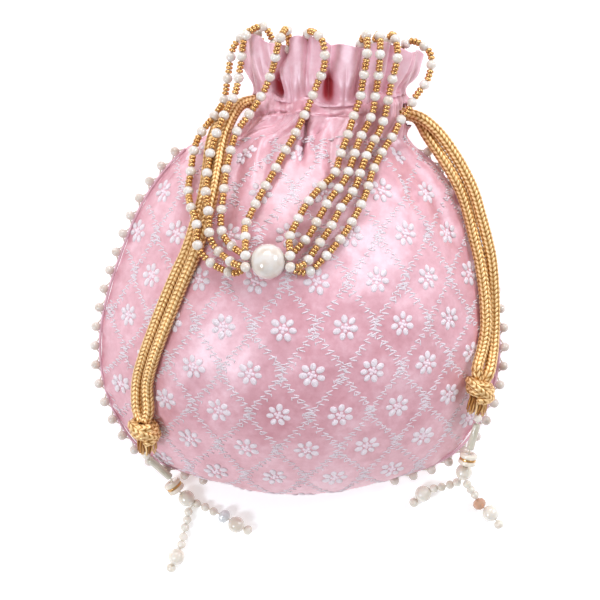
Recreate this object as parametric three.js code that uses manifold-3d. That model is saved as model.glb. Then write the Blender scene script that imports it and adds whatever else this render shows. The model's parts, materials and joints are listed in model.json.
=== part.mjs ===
// Drawstring potli bag lying on its back: a lined fabric pouch with a pearl edging, a gathered neck
// with a frill, two braided drawcords with bead tassels, and a four-strand pearl handle.
// Millimetres, +X to the bag's right side seam, +Y to the mouth, +Z out of the front face.
import * as THREE from 'three';
import { mergeVertices } from 'three/addons/utils/BufferGeometryUtils.js';
import Module from 'manifold-3d';

const wasm = await Module();
wasm.setup();

// Pouch: seam to seam, bottom seam to neck, and table to belly.
const pouchWidth = 174.6;
const pouchHeight = 158.5;
const pouchThickness = 75;
const bottomSeamY = -95;
const bottomSeamX = 1.5;
const bottomSeamZ = 8.5;
// Neck and frill, whose centre line lies to the right of the pouch's own.
const neckWidth = 68;
const neckThickness = 36;
const neckCentreX = 13.2;
const neckCentreZ = 30;
const channelHeight = 13.5;
const frillWidth = 80;
const frillThickness = 46;
const frillHeight = 19.5;
const frillSlope = 5.5;
// Cloth: outer panels, lining, and the gap that sewn faces keep.
const panelWall = 1.2;
const liningWall = 0.8;
const seamGap = 0.3;
const liningSlack = 1.9;
const throatSide = 7;
const liningDrawIn = 9;
const liningLetOut = 3.5;
// Pleats of each panel, and how deep they are at the neck and at the frill's edge.
const pleatsPerPanel = 7;
const neckPleat = 1.6;
const frillPleat = 4.6;
// Pearl edging of the side and bottom seams.
const pipingDiameter = 1.6;
const edgePearlDiameter = 3.9;
const edgePearlReach = 2.95;
const edgePearlPitch = 8.7;
const pearlFreeShare = 0.42;
const bottomTuck = THREE.MathUtils.degToRad(40);
// Drawcords, and the free space round them in the channel and in its two side holes.
const cordDiameter = 4.8;
const cordClearance = 0.45;
const holeClearance = 1.6;
const cordSpread = 3;
const leftCordRise = 9.6;
const rightCordRise = 4;
const cordSides = 8;
const cordSteps = 46;
// Knots and their frayed skirts.
const knotDiameter = 12;
const knotLength = 10.5;
const skirtLength = 5;
// Tassel beads, threaded with a running gap on their thread, which goes straight on past each by a step.
const threadDiameter = 0.7;
const boreDiameter = 1.5;
const tubeBeadDiameter = 3.3;
const discDiameter = 8;
const discThickness = 2;
const discBand = 1.1;
const tasselPearlDiameter = 7;
const seedDiameter = 3.5;
const tipDiameter = 3.9;
const dropDiameter = 6;
const beadStep = 0.2;
// Handle: pearls and short runs of gold seeds on four strands through one big pearl.
const handlePearlDiameter = 4.3;
const goldSeedDiameter = 2;
const handlePitch = 9.4;
const centrePearlDiameter = 14.8;
const centreBoreDiameter = 3;
const strandSpread = 0.55;
const strandSides = 5;

// Stations of the pouch from the bottom seam up to the neck. Each row holds the side seam's reach
// across and up, its rise towards the neck's height, the front crest's way up and height, the back's
// way up and height, the pinch of the section, and the pleats' depth as a share of the neck's.
const stations = [
  [0.000, 0.000, 0.00, 0.000, 0.113, 0.000, 0.113, 1.6, 0.0],
  [0.355, 0.006, 0.00, -0.031, 0.200, 0.032, 0.040, 1.6, 0.0],
  [0.607, 0.038, 0.05, -0.016, 0.320, 0.076, -0.050, 1.7, 0.0],
  [0.785, 0.088, 0.16, 0.025, 0.447, 0.126, -0.120, 1.8, 0.0],
  [0.911, 0.177, 0.33, 0.088, 0.607, 0.196, -0.150, 1.8, 0.0],
  [0.985, 0.290, 0.49, 0.183, 0.787, 0.290, -0.160, 1.8, 0.0],
  [1.000, 0.404, 0.63, 0.328, 0.940, 0.404, -0.160, 1.8, 0.0],
  [0.962, 0.524, 0.74, 0.486, 1.000, 0.524, -0.150, 1.8, 0.0],
  [0.882, 0.656, 0.86, 0.631, 0.973, 0.656, -0.110, 1.8, 0.2],
  [0.797, 0.770, 0.93, 0.757, 0.893, 0.770, -0.040, 1.7, 0.6],
  [0.675, 0.874, 0.98, 0.864, 0.793, 0.874, 0.040, 1.5, 1.0],
  [0.515, 0.956, 1.00, 0.946, 0.693, 0.950, 0.113, 1.25, 1.2],
];
const neckStation = stations.length;
const frillStation = neckStation + 3;

const neckBaseY = bottomSeamY + pouchHeight;
const channelTopY = neckBaseY + channelHeight;
const frillTopY = channelTopY + frillHeight;
const shoulderLean = 4.6;

// The four rails that the cloth is lofted between, each with one point to a station.
function upPouch(share) {
  return bottomSeamY + pouchHeight * share;
}

function sideRail(side) {
  const points = stations.map(([across, up, rise], station) => {
    const lean = bottomSeamX + (shoulderLean - bottomSeamX) * (station / neckStation) ** 6;
    const x = lean + side * across * pouchWidth / 2 - bottomSeamX * Math.min(across * 2, 1);
    return new THREE.Vector3(x, upPouch(up), THREE.MathUtils.lerp(bottomSeamZ, neckCentreZ, rise));
  });
  const slope = -side * frillSlope / 2;
  points.push(new THREE.Vector3(neckCentreX + side * neckWidth / 2, neckBaseY, neckCentreZ));
  points.push(new THREE.Vector3(neckCentreX + side * neckWidth / 2, channelTopY, neckCentreZ));
  const midWidth = (neckWidth + frillWidth) / 2;
  points.push(new THREE.Vector3(neckCentreX + side * midWidth / 2,
    channelTopY + frillHeight / 2 + slope / 2, neckCentreZ));
  points.push(new THREE.Vector3(neckCentreX + side * frillWidth / 2, frillTopY + slope, neckCentreZ));
  return new THREE.CatmullRomCurve3(points);
}

function crestRail(face) {
  const column = face > 0 ? 3 : 5;
  const points = stations.map((row, station) => {
    const height = station === 0 ? bottomSeamZ : pouchThickness * row[column + 1];
    return new THREE.Vector3(0, upPouch(row[column]), height);
  });
  const midThickness = (neckThickness + frillThickness) / 2;
  points.push(new THREE.Vector3(0, neckBaseY, neckCentreZ + face * neckThickness / 2));
  points.push(new THREE.Vector3(0, channelTopY, neckCentreZ + face * neckThickness / 2));
  points.push(new THREE.Vector3(0, channelTopY + frillHeight / 2, neckCentreZ + face * midThickness / 2));
  points.push(new THREE.Vector3(0, frillTopY, neckCentreZ + face * frillThickness / 2));
  return new THREE.CatmullRomCurve3(points);
}

const rightRail = sideRail(1);
const leftRail = sideRail(-1);
const frontRail = crestRail(1);
const backRail = crestRail(-1);

function shareAt(station) {
  return station / frillStation;
}

function stationValue(column, afterNeck, station) {
  const values = [...stations.map((row) => row[column]), ...afterNeck];
  const low = Math.min(Math.floor(station), values.length - 2);
  return THREE.MathUtils.lerp(values[low], values[low + 1], station - low);
}

function pinchAt(station) {
  return stationValue(7, [1, 1, 1, 1], station);
}

function pleatDepthAt(station) {
  const frillShare = frillPleat / neckPleat;
  return neckPleat * stationValue(8, [1, 1, (1 + frillShare) / 2, frillShare], station);
}

// A rail's point moved into the pouch by inset, in the plane that the rail mainly turns in.
function insetSide(curve, side, station, inset) {
  const point = curve.getPoint(shareAt(station));
  const tangent = curve.getTangent(shareAt(station));
  const inward = new THREE.Vector3(-side * tangent.y, side * tangent.x, 0).normalize();
  return point.addScaledVector(inward, inset);
}

function insetCrest(curve, face, station, inset) {
  const point = curve.getPoint(shareAt(station));
  const tangent = curve.getTangent(shareAt(station));
  const inward = new THREE.Vector3(0, face * tangent.z, -face * tangent.y).normalize();
  return point.addScaledVector(inward, inset);
}

// A point of the cloth. The turn starts at the right seam and goes over the front to the left one.
function clothPoint(station, turn, inset, pleatShare = 1, sideInset = 0) {
  if (station === 0) {
    return new THREE.Vector3(bottomSeamX, bottomSeamY + inset, bottomSeamZ);
  }
  const right = insetSide(rightRail, 1, station, inset);
  const left = insetSide(leftRail, -1, station, inset);
  const centre = right.clone().add(left).multiplyScalar(0.5);
  const half = right.clone().sub(left).multiplyScalar(0.5);
  half.setLength(half.length() - sideInset);
  const face = Math.sin(turn) < 0 ? -1 : 1;
  const crest = insetCrest(face > 0 ? frontRail : backRail, face, station, inset);
  crest.x = centre.x;
  const bulge = Math.abs(Math.sin(turn)) ** pinchAt(station);
  const point = centre.clone().addScaledVector(half, Math.cos(turn));
  point.addScaledVector(crest.clone().sub(centre), bulge);
  const depth = centre.distanceTo(crest);
  const outward = new THREE.Vector3(Math.cos(turn) / half.length(), 0, Math.sin(turn) / depth);
  const pleat = -Math.cos(2 * pleatsPerPanel * turn) * pleatDepthAt(station) * pleatShare;
  point.addScaledVector(outward.normalize(), pleat);
  point.z = Math.max(point.z, inset);
  return point;
}

// A closed sheet of cloth between an outer and an inner skin, on a grid of stations and turns.
function clothGeometry(rows, turns, wraps, outerPoint, innerPoint) {
  const positions = [];
  const index = [];
  const addSkin = (pointAt) => rows.map((station) => {
    const addVertex = (turn) => positions.push(...pointAt(station, turn)) / 3 - 1;
    return station === 0 ? turns.map(() => 0).fill(addVertex(0)) : turns.map(addVertex);
  });
  const addFace = (a, b, c) => {
    if (a !== b && b !== c && c !== a) {
      index.push(a, b, c);
    }
  };
  const addQuad = (a, b, c, d) => {
    addFace(a, b, c);
    addFace(a, c, d);
  };
  const outer = addSkin(outerPoint);
  const inner = addSkin(innerPoint);
  const columns = wraps ? turns.length : turns.length - 1;
  const lastRow = rows.length - 1;
  for (let column = 0; column < columns; column += 1) {
    const next = (column + 1) % turns.length;
    for (let row = 0; row < lastRow; row += 1) {
      addQuad(outer[row][column], outer[row + 1][column], outer[row + 1][next], outer[row][next]);
      addQuad(inner[row][next], inner[row + 1][next], inner[row + 1][column], inner[row][column]);
    }
    addQuad(outer[lastRow][column], inner[lastRow][column], inner[lastRow][next], outer[lastRow][next]);
    if (rows[0] > 0) {
      addQuad(outer[0][next], inner[0][next], inner[0][column], outer[0][column]);
    }
  }
  if (!wraps) {
    const last = turns.length - 1;
    for (let row = 0; row < lastRow; row += 1) {
      addQuad(outer[row][0], inner[row][0], inner[row + 1][0], outer[row + 1][0]);
      addQuad(outer[row + 1][last], inner[row + 1][last], inner[row][last], outer[row][last]);
    }
  }
  const geometry = new THREE.BufferGeometry();
  geometry.setAttribute('position', new THREE.Float32BufferAttribute(positions, 3));
  geometry.setIndex(index);
  return geometry;
}

function evenSteps(from, to, count) {
  const steps = Math.max(count, 1);
  return Array.from({ length: count + 1 }, (_, step) => from + (to - from) * step / steps);
}

// Booleans for the pieces that are cut by, or joined with, others.
function toManifold(geometry) {
  const bare = geometry.clone();
  bare.deleteAttribute('normal');
  bare.deleteAttribute('uv');
  const merged = mergeVertices(bare, 1e-4);
  return new wasm.Manifold(new wasm.Mesh({
    numProp: 3,
    vertProperties: new Float32Array(merged.attributes.position.array),
    triVerts: new Uint32Array(merged.index.array),
  }));
}

function fromManifold(solid) {
  const mesh = solid.getMesh();
  const geometry = new THREE.BufferGeometry();
  geometry.setAttribute('position', new THREE.BufferAttribute(new Float32Array(mesh.vertProperties), 3));
  geometry.setIndex(new THREE.BufferAttribute(new Uint32Array(mesh.triVerts), 1));
  return geometry;
}

// Materials by finish.
function cloth(color) {
  return new THREE.MeshStandardMaterial({ color, roughness: 0.55, metalness: 0 });
}

const materials = {
  satin: cloth(0xe9bccb),
  lining: cloth(0xc9798f),
  pearl: new THREE.MeshStandardMaterial({ color: 0xf1e7dc, roughness: 0.25, metalness: 0 }),
  goldBraid: new THREE.MeshStandardMaterial({ color: 0xca9e5c, roughness: 0.4, metalness: 0.6 }),
  glass: new THREE.MeshStandardMaterial({ color: 0xdccbb8, roughness: 0.15, metalness: 0 }),
};

const bag = new THREE.Group();

function addPiece(name, geometry, material) {
  const mesh = new THREE.Mesh(geometry, material);
  mesh.name = name;
  bag.add(mesh);
  return mesh;
}

// Outer panels: front and back halves that meet along the side and bottom seams.
const panelRows = [0, 0.5, 1, 2, 3, 4, 5, 6, 7, 8, 9, 10, 11, neckStation];
const panelColumns = pleatsPerPanel * 4;
const liningColumns = 20;

function addPanel(name, face) {
  const lift = new THREE.Vector3(0, 0, face > 0 ? seamGap : 0);
  const turns = evenSteps(face > 0 ? 0 : Math.PI, face > 0 ? Math.PI : 2 * Math.PI, panelColumns);
  const skin = (inset) => (station, turn) => clothPoint(station, turn, inset).add(lift);
  addPiece(name, clothGeometry(panelRows, turns, false, skin(0), skin(panelWall)), materials.satin);
}

addPanel('front_panel', 1);
addPanel('back_panel', -1);

// Drawcords. Each runs from its knot up one leg, through a side hole of the frill, once round the
// channel and back down the other leg to the same knot. Legs are listed from the knot up.
const cordRoutes = {
  left: {
    side: -1,
    channelY: neckBaseY + leftCordRise,
    outerLeg: [
      [-70.3, -61.4, 37.7], [-70.1, -48.8, 41.3], [-66.8, -37.4, 47.6], [-62.7, -26.7, 52.7],
      [-58.2, -15.5, 56.4], [-53.3, -4, 58.1], [-48, 7.4, 59.6], [-44.3, 19, 58.4], [-41.1, 30.7, 55.8],
      [-39.4, 42.3, 51.8], [-38, 54, 46.6], [-34.1, 64.5, 38.5], [-26.9, 71.7, 29.4],
    ],
    innerLeg: [
      [-65.7, -62.1, 39.8], [-65.8, -50.3, 43.8], [-63.2, -40.3, 49.9], [-59, -29.2, 55.4],
      [-54.3, -17.7, 59], [-49.4, -5.9, 60.9], [-44.3, 5.7, 62.8], [-40.4, 18.4, 61.7],
      [-37, 30.8, 59.1], [-34.9, 42.9, 54.2], [-33.2, 54.1, 48.6], [-30.1, 63.8, 43],
      [-25.2, 71.5, 35.7],
    ],
  },
  right: {
    side: 1,
    channelY: neckBaseY + rightCordRise,
    outerLeg: [
      [81.9, -46.1, 38.9], [84.1, -37.2, 34.1], [85, -26.9, 31.4], [85.1, -16.4, 31.1],
      [84.7, -6.2, 31.6], [83.7, 4, 32.8], [81.5, 14, 33.9], [78.8, 23.7, 34.7], [75.8, 33.6, 35.5],
      [71.3, 43.1, 36.2], [65.9, 51.9, 36.5], [60.1, 59.5, 36], [53, 65.4, 34.8],
    ],
    innerLeg: [
      [77.1, -44.4, 39.9], [79.6, -35.5, 36.3], [81.2, -26.3, 34.9], [81.1, -16.6, 34.5],
      [80.2, -6.7, 34], [78.7, 3.1, 33.6], [76.4, 12.7, 33.4], [74, 22.6, 33.3], [71.1, 32, 33.9],
      [66.9, 40.6, 35.1], [61.7, 49, 35.2], [56.1, 57.6, 32.9], [51.3, 66, 28],
    ],
  },
};

function toVectors(list) {
  return list.map((point) => new THREE.Vector3(...point));
}

function channelRun(side, channelY) {
  const inset = panelWall + neckPleat + cordClearance + cordDiameter / 2;
  const run = evenSteps(62, 298, 8).map((degrees) => {
    const angle = THREE.MathUtils.degToRad(degrees);
    const x = neckCentreX + side * (neckWidth / 2 - inset) * Math.cos(angle);
    return new THREE.Vector3(x, channelY, neckCentreZ + (neckThickness / 2 - inset) * Math.sin(angle));
  });
  const holeX = neckCentreX + side * (neckWidth / 2 - panelWall);
  const hole = (rise) => new THREE.Vector3(holeX, channelY, neckCentreZ + rise);
  const inside = (rise) => hole(rise).setX(holeX - side * 2 * cordDiameter);
  return [
    hole(cordSpread), inside(1.2 * cordSpread), ...run, inside(-1.2 * cordSpread), hole(-cordSpread),
  ];
}

function cordCurve({ side, channelY, outerLeg, innerLeg }) {
  const [over, under] = side < 0 ? [innerLeg, outerLeg] : [outerLeg, innerLeg];
  return new THREE.CatmullRomCurve3([
    ...toVectors(over), ...channelRun(side, channelY), ...toVectors(under).reverse(),
  ], false, 'centripetal');
}

function tubeAlong(curve, diameter, sides, steps) {
  const section = new THREE.Shape(evenSteps(0, 2 * Math.PI, sides).slice(0, -1).map(
    (angle) => new THREE.Vector2(Math.cos(angle), Math.sin(angle)).multiplyScalar(diameter / 2),
  ));
  return new THREE.ExtrudeGeometry(section, { steps, extrudePath: curve });
}

const cordCurves = Object.entries(cordRoutes).map(([name, route]) => [name, cordCurve(route)]);

for (const [name, curve] of cordCurves) {
  addPiece(`${name}_drawcord`, tubeAlong(curve, cordDiameter, cordSides, cordSteps), materials.goldBraid);
}

// Frill: one ring of cloth that holds the drawcord channel and flares to the wavy edge. Each cord
// leaves it through a slot at its side.
const ringTurns = evenSteps(0, 2 * Math.PI, 2 * panelColumns).slice(0, -1);

function sideSlot(side, channelY) {
  const slot = new THREE.CylinderGeometry(1, 1, 3 * cordDiameter, 12);
  const halfHeight = cordDiameter / 2 + holeClearance;
  slot.scale(halfHeight, 1, cordSpread + halfHeight);
  slot.rotateZ(Math.PI / 2);
  return slot.translate(neckCentreX + side * neckWidth / 2, channelY, neckCentreZ);
}

function addFrill() {
  const rows = evenSteps(neckStation, frillStation, 5);
  const lift = new THREE.Vector3(0, seamGap, 0);
  const skin = (inset) => (station, turn) => clothPoint(station, turn, inset).add(lift);
  let solid = toManifold(clothGeometry(rows, ringTurns, true, skin(0), skin(panelWall)));
  for (const { side, channelY } of Object.values(cordRoutes)) {
    solid = solid.subtract(toManifold(sideSlot(side, channelY)));
  }
  addPiece('frill', fromManifold(solid), materials.satin);
}

addFrill();

// Lining: a smooth pouch inside the panels that draws in under the drawcord channel and is sewn to
// the frill above it.
function liningInset(station) {
  const y = frontRail.getPoint(shareAt(station)).y;
  const rise = THREE.MathUtils.smoothstep(y, neckBaseY - liningDrawIn, neckBaseY - 1);
  const fall = 1 - THREE.MathUtils.smoothstep(y, channelTopY - 1, channelTopY + liningLetOut);
  const draw = rise * fall;
  const inset = panelWall + liningSlack + pleatDepthAt(station) + (cordDiameter + seamGap) * draw;
  return { inset, side: throatSide * draw };
}

function addLining() {
  const rows = [0, 0.5, 1, 2, 3, 4.5, 6, 7.5, 9, 10, 11, 11.6, 12.3, 13, 13.55];
  const turns = evenSteps(0, 2 * Math.PI, liningColumns).slice(0, -1);
  const skin = (wall) => (station, turn) => {
    const { inset, side } = liningInset(station);
    return clothPoint(station, turn, inset + wall, 0, side);
  };
  addPiece('lining', clothGeometry(rows, turns, true, skin(0), skin(liningWall)), materials.lining);
}

addLining();

// Pearl edging: a piping along the side and bottom seams with pearls standing off it.
function edgingFrame(side, station) {
  const share = shareAt(station);
  const rail = side > 0 ? rightRail : leftRail;
  const tangent = rail.getTangent(share);
  const outward = new THREE.Vector3(side * tangent.y, -side * tangent.x, 0).normalize();
  const tuck = bottomTuck * (1 - THREE.MathUtils.smoothstep(station, 1.5, 4));
  const reach = outward.multiplyScalar(Math.cos(tuck)).setZ(-Math.sin(tuck));
  const seam = rail.getPoint(share).setZ(rail.getPoint(share).z + seamGap / 2);
  return { seam, reach };
}

function addEdging() {
  const top = neckStation - 1.4;
  const stops = [
    ...evenSteps(top, 0, 22).map((station) => edgingFrame(-1, station)),
    ...evenSteps(0, top, 22).slice(1).map((station) => edgingFrame(1, station)),
  ];
  const offset = (distance) => stops.map(({ seam, reach }) => seam.clone().addScaledVector(reach, distance));
  const piping = new THREE.CatmullRomCurve3(offset(seamGap + pipingDiameter / 2));
  const pearls = new THREE.CatmullRomCurve3(offset(edgePearlReach));
  const length = pearls.getLength();
  const count = Math.round(length / edgePearlPitch);
  let solid = toManifold(tubeAlong(piping, pipingDiameter, 4, Math.round(0.85 * count)));
  const endShare = edgePearlDiameter / length;
  const places = evenSteps(endShare, 1 - endShare, count).map((share) => pearls.getPointAt(share));
  const freeHalf = pouchWidth * pearlFreeShare / 2;
  for (const place of places.filter(({ x }) => Math.abs(x) > freeHalf)) {
    const pearl = new THREE.IcosahedronGeometry(edgePearlDiameter / 2, 0);
    solid = solid.add(toManifold(pearl.translate(...place)));
  }
  addPiece('edge_pearls', fromManifold(solid), materials.pearl);
}

addEdging();

// Bead strings: a turned profile of thread and beads, bent along its route. A stop is a bead, or a
// bare place of the thread, which has one ring.
function bareThread(at) {
  return { at, diameter: threadDiameter, neck: threadDiameter, rings: 0 };
}

function beadProfile(stops, length) {
  const profile = [new THREE.Vector2(0, 0)];
  for (const { at, diameter, neck, rings } of stops) {
    const radius = diameter / 2;
    const end = Math.acos(neck / diameter);
    for (const angle of evenSteps(-end, end, rings)) {
      profile.push(new THREE.Vector2(radius * Math.cos(angle), at + radius * Math.sin(angle)));
    }
  }
  profile.push(new THREE.Vector2(0, length));
  return profile;
}

function bendAlong(geometry, curve) {
  const length = curve.getLength();
  const position = geometry.attributes.position;
  const heights = Array.from({ length: position.count }, (_, corner) => position.getY(corner));
  const frames = new Map();
  let normal = new THREE.Vector3(0, 0, 1);
  for (const height of [...new Set(heights)].sort((a, b) => a - b)) {
    const share = THREE.MathUtils.clamp(height / length, 0, 1);
    const tangent = curve.getTangentAt(share);
    normal = normal.clone().addScaledVector(tangent, -normal.dot(tangent)).normalize();
    frames.set(height, { centre: curve.getPointAt(share), normal, binormal: tangent.clone().cross(normal) });
  }
  heights.forEach((height, corner) => {
    const { centre, normal: side, binormal } = frames.get(height);
    const place = centre.clone().addScaledVector(binormal, position.getX(corner));
    place.addScaledVector(side, position.getZ(corner));
    position.setXYZ(corner, ...place);
  });
  return geometry;
}

function distanceAlong(curve, place) {
  const steps = 400;
  const nearest = evenSteps(0, 1, steps).reduce((best, share) => (
    curve.getPointAt(share).distanceTo(place) < curve.getPointAt(best).distanceTo(place) ? share : best
  ));
  return nearest * curve.getLength();
}

// Beads and knots that are turned about their own axis and lie between two places.
function layBetween(geometry, from, to) {
  const direction = to.clone().sub(from).normalize();
  geometry.applyQuaternion(new THREE.Quaternion().setFromUnitVectors(new THREE.Vector3(0, 1, 0), direction));
  return geometry.translate(...from.clone().add(to).multiplyScalar(0.5));
}

function boredBead(outline, segments) {
  const bore = boreDiameter / 2;
  const first = outline[0][1];
  const last = outline.at(-1)[1];
  const points = [[bore, first], ...outline, [bore, last], [bore, first]];
  return new THREE.LatheGeometry(points.map(([x, y]) => new THREE.Vector2(x, y)), segments);
}

function roundOutline(diameter, bore, count) {
  const end = Math.asin(Math.sqrt(1 - (bore / diameter) ** 2));
  const radius = diameter / 2;
  return evenSteps(-end, end, count).map((angle) => [radius * Math.cos(angle), radius * Math.sin(angle)]);
}

// Tassels: knot, then tube bead, disc pair and pearl on the stem, which goes on as the first string.
const tassels = {
  left: {
    knotTop: [-68, -65.3, 38.8],
    knotEnd: [-67, -75, 33],
    skirtEnd: [-66.8, -79, 29.5],
    stemBead: [-67.6, -82, 22.5],
    tube: [[-66.4, -84, 19.8], [-57.8, -92.6, 10.9]],
    discs: [-56, -97, 6.4],
    pearl: [-50.6, -102.6, 3.9],
    firstString: [
      [-49.8, -108.6, 1.9, 'seed'], [-50.4, -112.3, 1.85, 'seed'], [-51.4, -116, 1.85, 'seed'],
      [-52.1, -119.8, 1.85, 'seed'], [-53, -123.5, 1.85, 'seed'], [-55, -128.6, 3.55, 'pearl'],
      [-57.6, -134, 2.05, 'tip'],
    ],
    secondString: [
      [-45.9, -105.2, 1.9, 'seed'], [-42.2, -106.8, 1.85, 'seed'], [-38.7, -108.6, 1.85, 'seed'],
      [-34, -110.6, 3.1, 'drop'], [-28.4, -114.4, 3.55, 'pearl'], [-23.3, -117, 2.05, 'tip'],
    ],
  },
  right: {
    knotTop: [79.4, -47.4, 38.6],
    knotEnd: [77.7, -57.6, 35.4],
    skirtEnd: [77.8, -62.4, 31.4],
    stemBead: [78.2, -65.6, 27.2],
    tube: [[78, -68.4, 25.4], [75.2, -79.6, 21]],
    discs: [74.4, -84, 18.8],
    pearl: [73, -90.2, 13.6],
    firstString: [
      [70.2, -95.2, 8.6, 'seed'], [67, -96.4, 7, 'seed'], [63.6, -97.4, 5.6, 'seed'],
      [60.1, -98.2, 4.6, 'seed'], [55.4, -100.6, 3.6, 'pearl'], [51.4, -104.6, 2.05, 'tip'],
    ],
    secondString: [
      [74.8, -96, 8, 'seed'], [76.6, -98.6, 6, 'seed'], [78.6, -101.2, 4.2, 'seed'],
      [80.8, -105.4, 3.2, 'drop'], [85.8, -109.4, 3.55, 'pearl'], [89.4, -114.4, 2.05, 'tip'],
    ],
  },
};
const beadDiameters = {
  seed: seedDiameter, pearl: tasselPearlDiameter, tip: tipDiameter, drop: dropDiameter,
};

function addKnot(name, { knotTop, knotEnd, skirtEnd }) {
  const radius = knotDiameter / 2;
  const half = knotLength / 2;
  const wraps = evenSteps(0, 6, 6).map((step) => {
    const swell = step % 2 ? 1 : 0.86;
    return [radius * swell * (0.8 + 0.2 * Math.sin(Math.PI * step / 6)), -half + knotLength * step / 6];
  });
  const skirt = [[0.5 * radius, half + 0.6], [0.78 * radius, half + skirtLength], [0, half + skirtLength]];
  const points = [[0, -half], ...wraps, ...skirt].map(([x, y]) => new THREE.Vector2(x, y));
  const [from, to] = toVectors([knotTop, knotEnd]);
  addPiece(`${name}_knot`, layBetween(new THREE.LatheGeometry(points, 10), from, to), materials.goldBraid);
  return toVectors([skirtEnd])[0];
}

function stringCurve(points) {
  return new THREE.CatmullRomCurve3(points, false, 'catmullrom', 0);
}

function addString(name, curve, beads, threadEnds) {
  const stops = beads.map(([x, y, z, kind]) => {
    const diameter = beadDiameters[kind];
    const at = distanceAlong(curve, new THREE.Vector3(x, y, z));
    return { at, diameter, neck: seedDiameter / 2, rings: diameter > tipDiameter ? 4 : 2 };
  });
  const order = [...threadEnds.map(bareThread), ...stops].sort((a, b) => a.at - b.at);
  const end = stops.at(-1).at + stops.at(-1).diameter / 2;
  const turned = new THREE.LatheGeometry(beadProfile(order, end), strandSides);
  addPiece(name, bendAlong(turned, curve), materials.pearl);
}

function pastLast(points) {
  const [before, last] = points.slice(-2);
  return last.clone().addScaledVector(last.clone().sub(before).normalize(), tipDiameter);
}

function addTassel(name, tassel) {
  const stemStart = addKnot(name, tassel);
  const [tubeStart, tubeEnd] = toVectors(tassel.tube);
  const [discs, pearl, stemBead] = toVectors([tassel.discs, tassel.pearl, tassel.stemBead]);
  const tubeLength = tubeStart.distanceTo(tubeEnd);
  const tubeRadius = tubeBeadDiameter / 2;
  const tube = boredBead([[tubeRadius, -tubeLength / 2], [tubeRadius, tubeLength / 2]], 8);
  addPiece(`${name}_tube_bead`, layBetween(tube, tubeStart, tubeEnd), materials.glass);
  const disc = discDiameter / 2;
  const half = discThickness + discBand / 2;
  const stack = boredBead([
    [0.8 * disc, -half], [disc, -half + 0.5], [disc, -discBand / 2 - 0.4], [0.88 * disc, -discBand / 2],
    [0.88 * disc, discBand / 2], [disc, discBand / 2 + 0.4], [disc, half - 0.5], [0.8 * disc, half],
  ], 10);
  const along = pearl.clone().sub(tubeEnd).normalize();
  const stackEnds = [-1, 1].map((end) => discs.clone().addScaledVector(along, end));
  addPiece(`${name}_discs`, layBetween(stack, ...stackEnds), materials.pearl);
  const ball = boredBead(roundOutline(tasselPearlDiameter, boreDiameter, 5), 8);
  const ballAlong = pearl.clone().sub(discs).normalize();
  const ballEnds = [-1, 1].map((end) => pearl.clone().addScaledVector(ballAlong, end));
  addPiece(`${name}_tassel_pearl`, layBetween(ball, ...ballEnds), materials.pearl);
  const beadEnd = (place, axis, reach) => place.clone().addScaledVector(axis, reach);
  const discEnds = [-1, 1].map((end) => beadEnd(discs, along, end * (half + beadStep)));
  const ballReach = tasselPearlDiameter / 2 + beadStep;
  const [ballStart, ballEnd] = [-1, 1].map((end) => beadEnd(pearl, ballAlong, end * ballReach));
  const firstPlaces = tassel.firstString.map(([x, y, z]) => new THREE.Vector3(x, y, z));
  const stem = stringCurve([
    stemStart, stemBead, tubeStart, tubeEnd, ...discEnds, ballStart, ballEnd,
    ...firstPlaces, pastLast(firstPlaces),
  ]);
  const bead = [...tassel.stemBead, 'seed'];
  const bare = [stemStart, tubeStart, tubeEnd, ...discEnds, ballStart, ballEnd]
    .map((place) => distanceAlong(stem, place));
  addString(`${name}_first_string`, stem, [bead, ...tassel.firstString], bare);
  const secondPlaces = tassel.secondString.map(([x, y, z]) => new THREE.Vector3(x, y, z));
  const fork = ballEnd.clone().add(new THREE.Vector3(1.1, 0, 0));
  const second = stringCurve([fork, ...secondPlaces, pastLast(secondPlaces)]);
  addString(`${name}_second_string`, second, tassel.secondString, [0]);
}

for (const [name, tassel] of Object.entries(tassels)) {
  addTassel(name, tassel);
}

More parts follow.
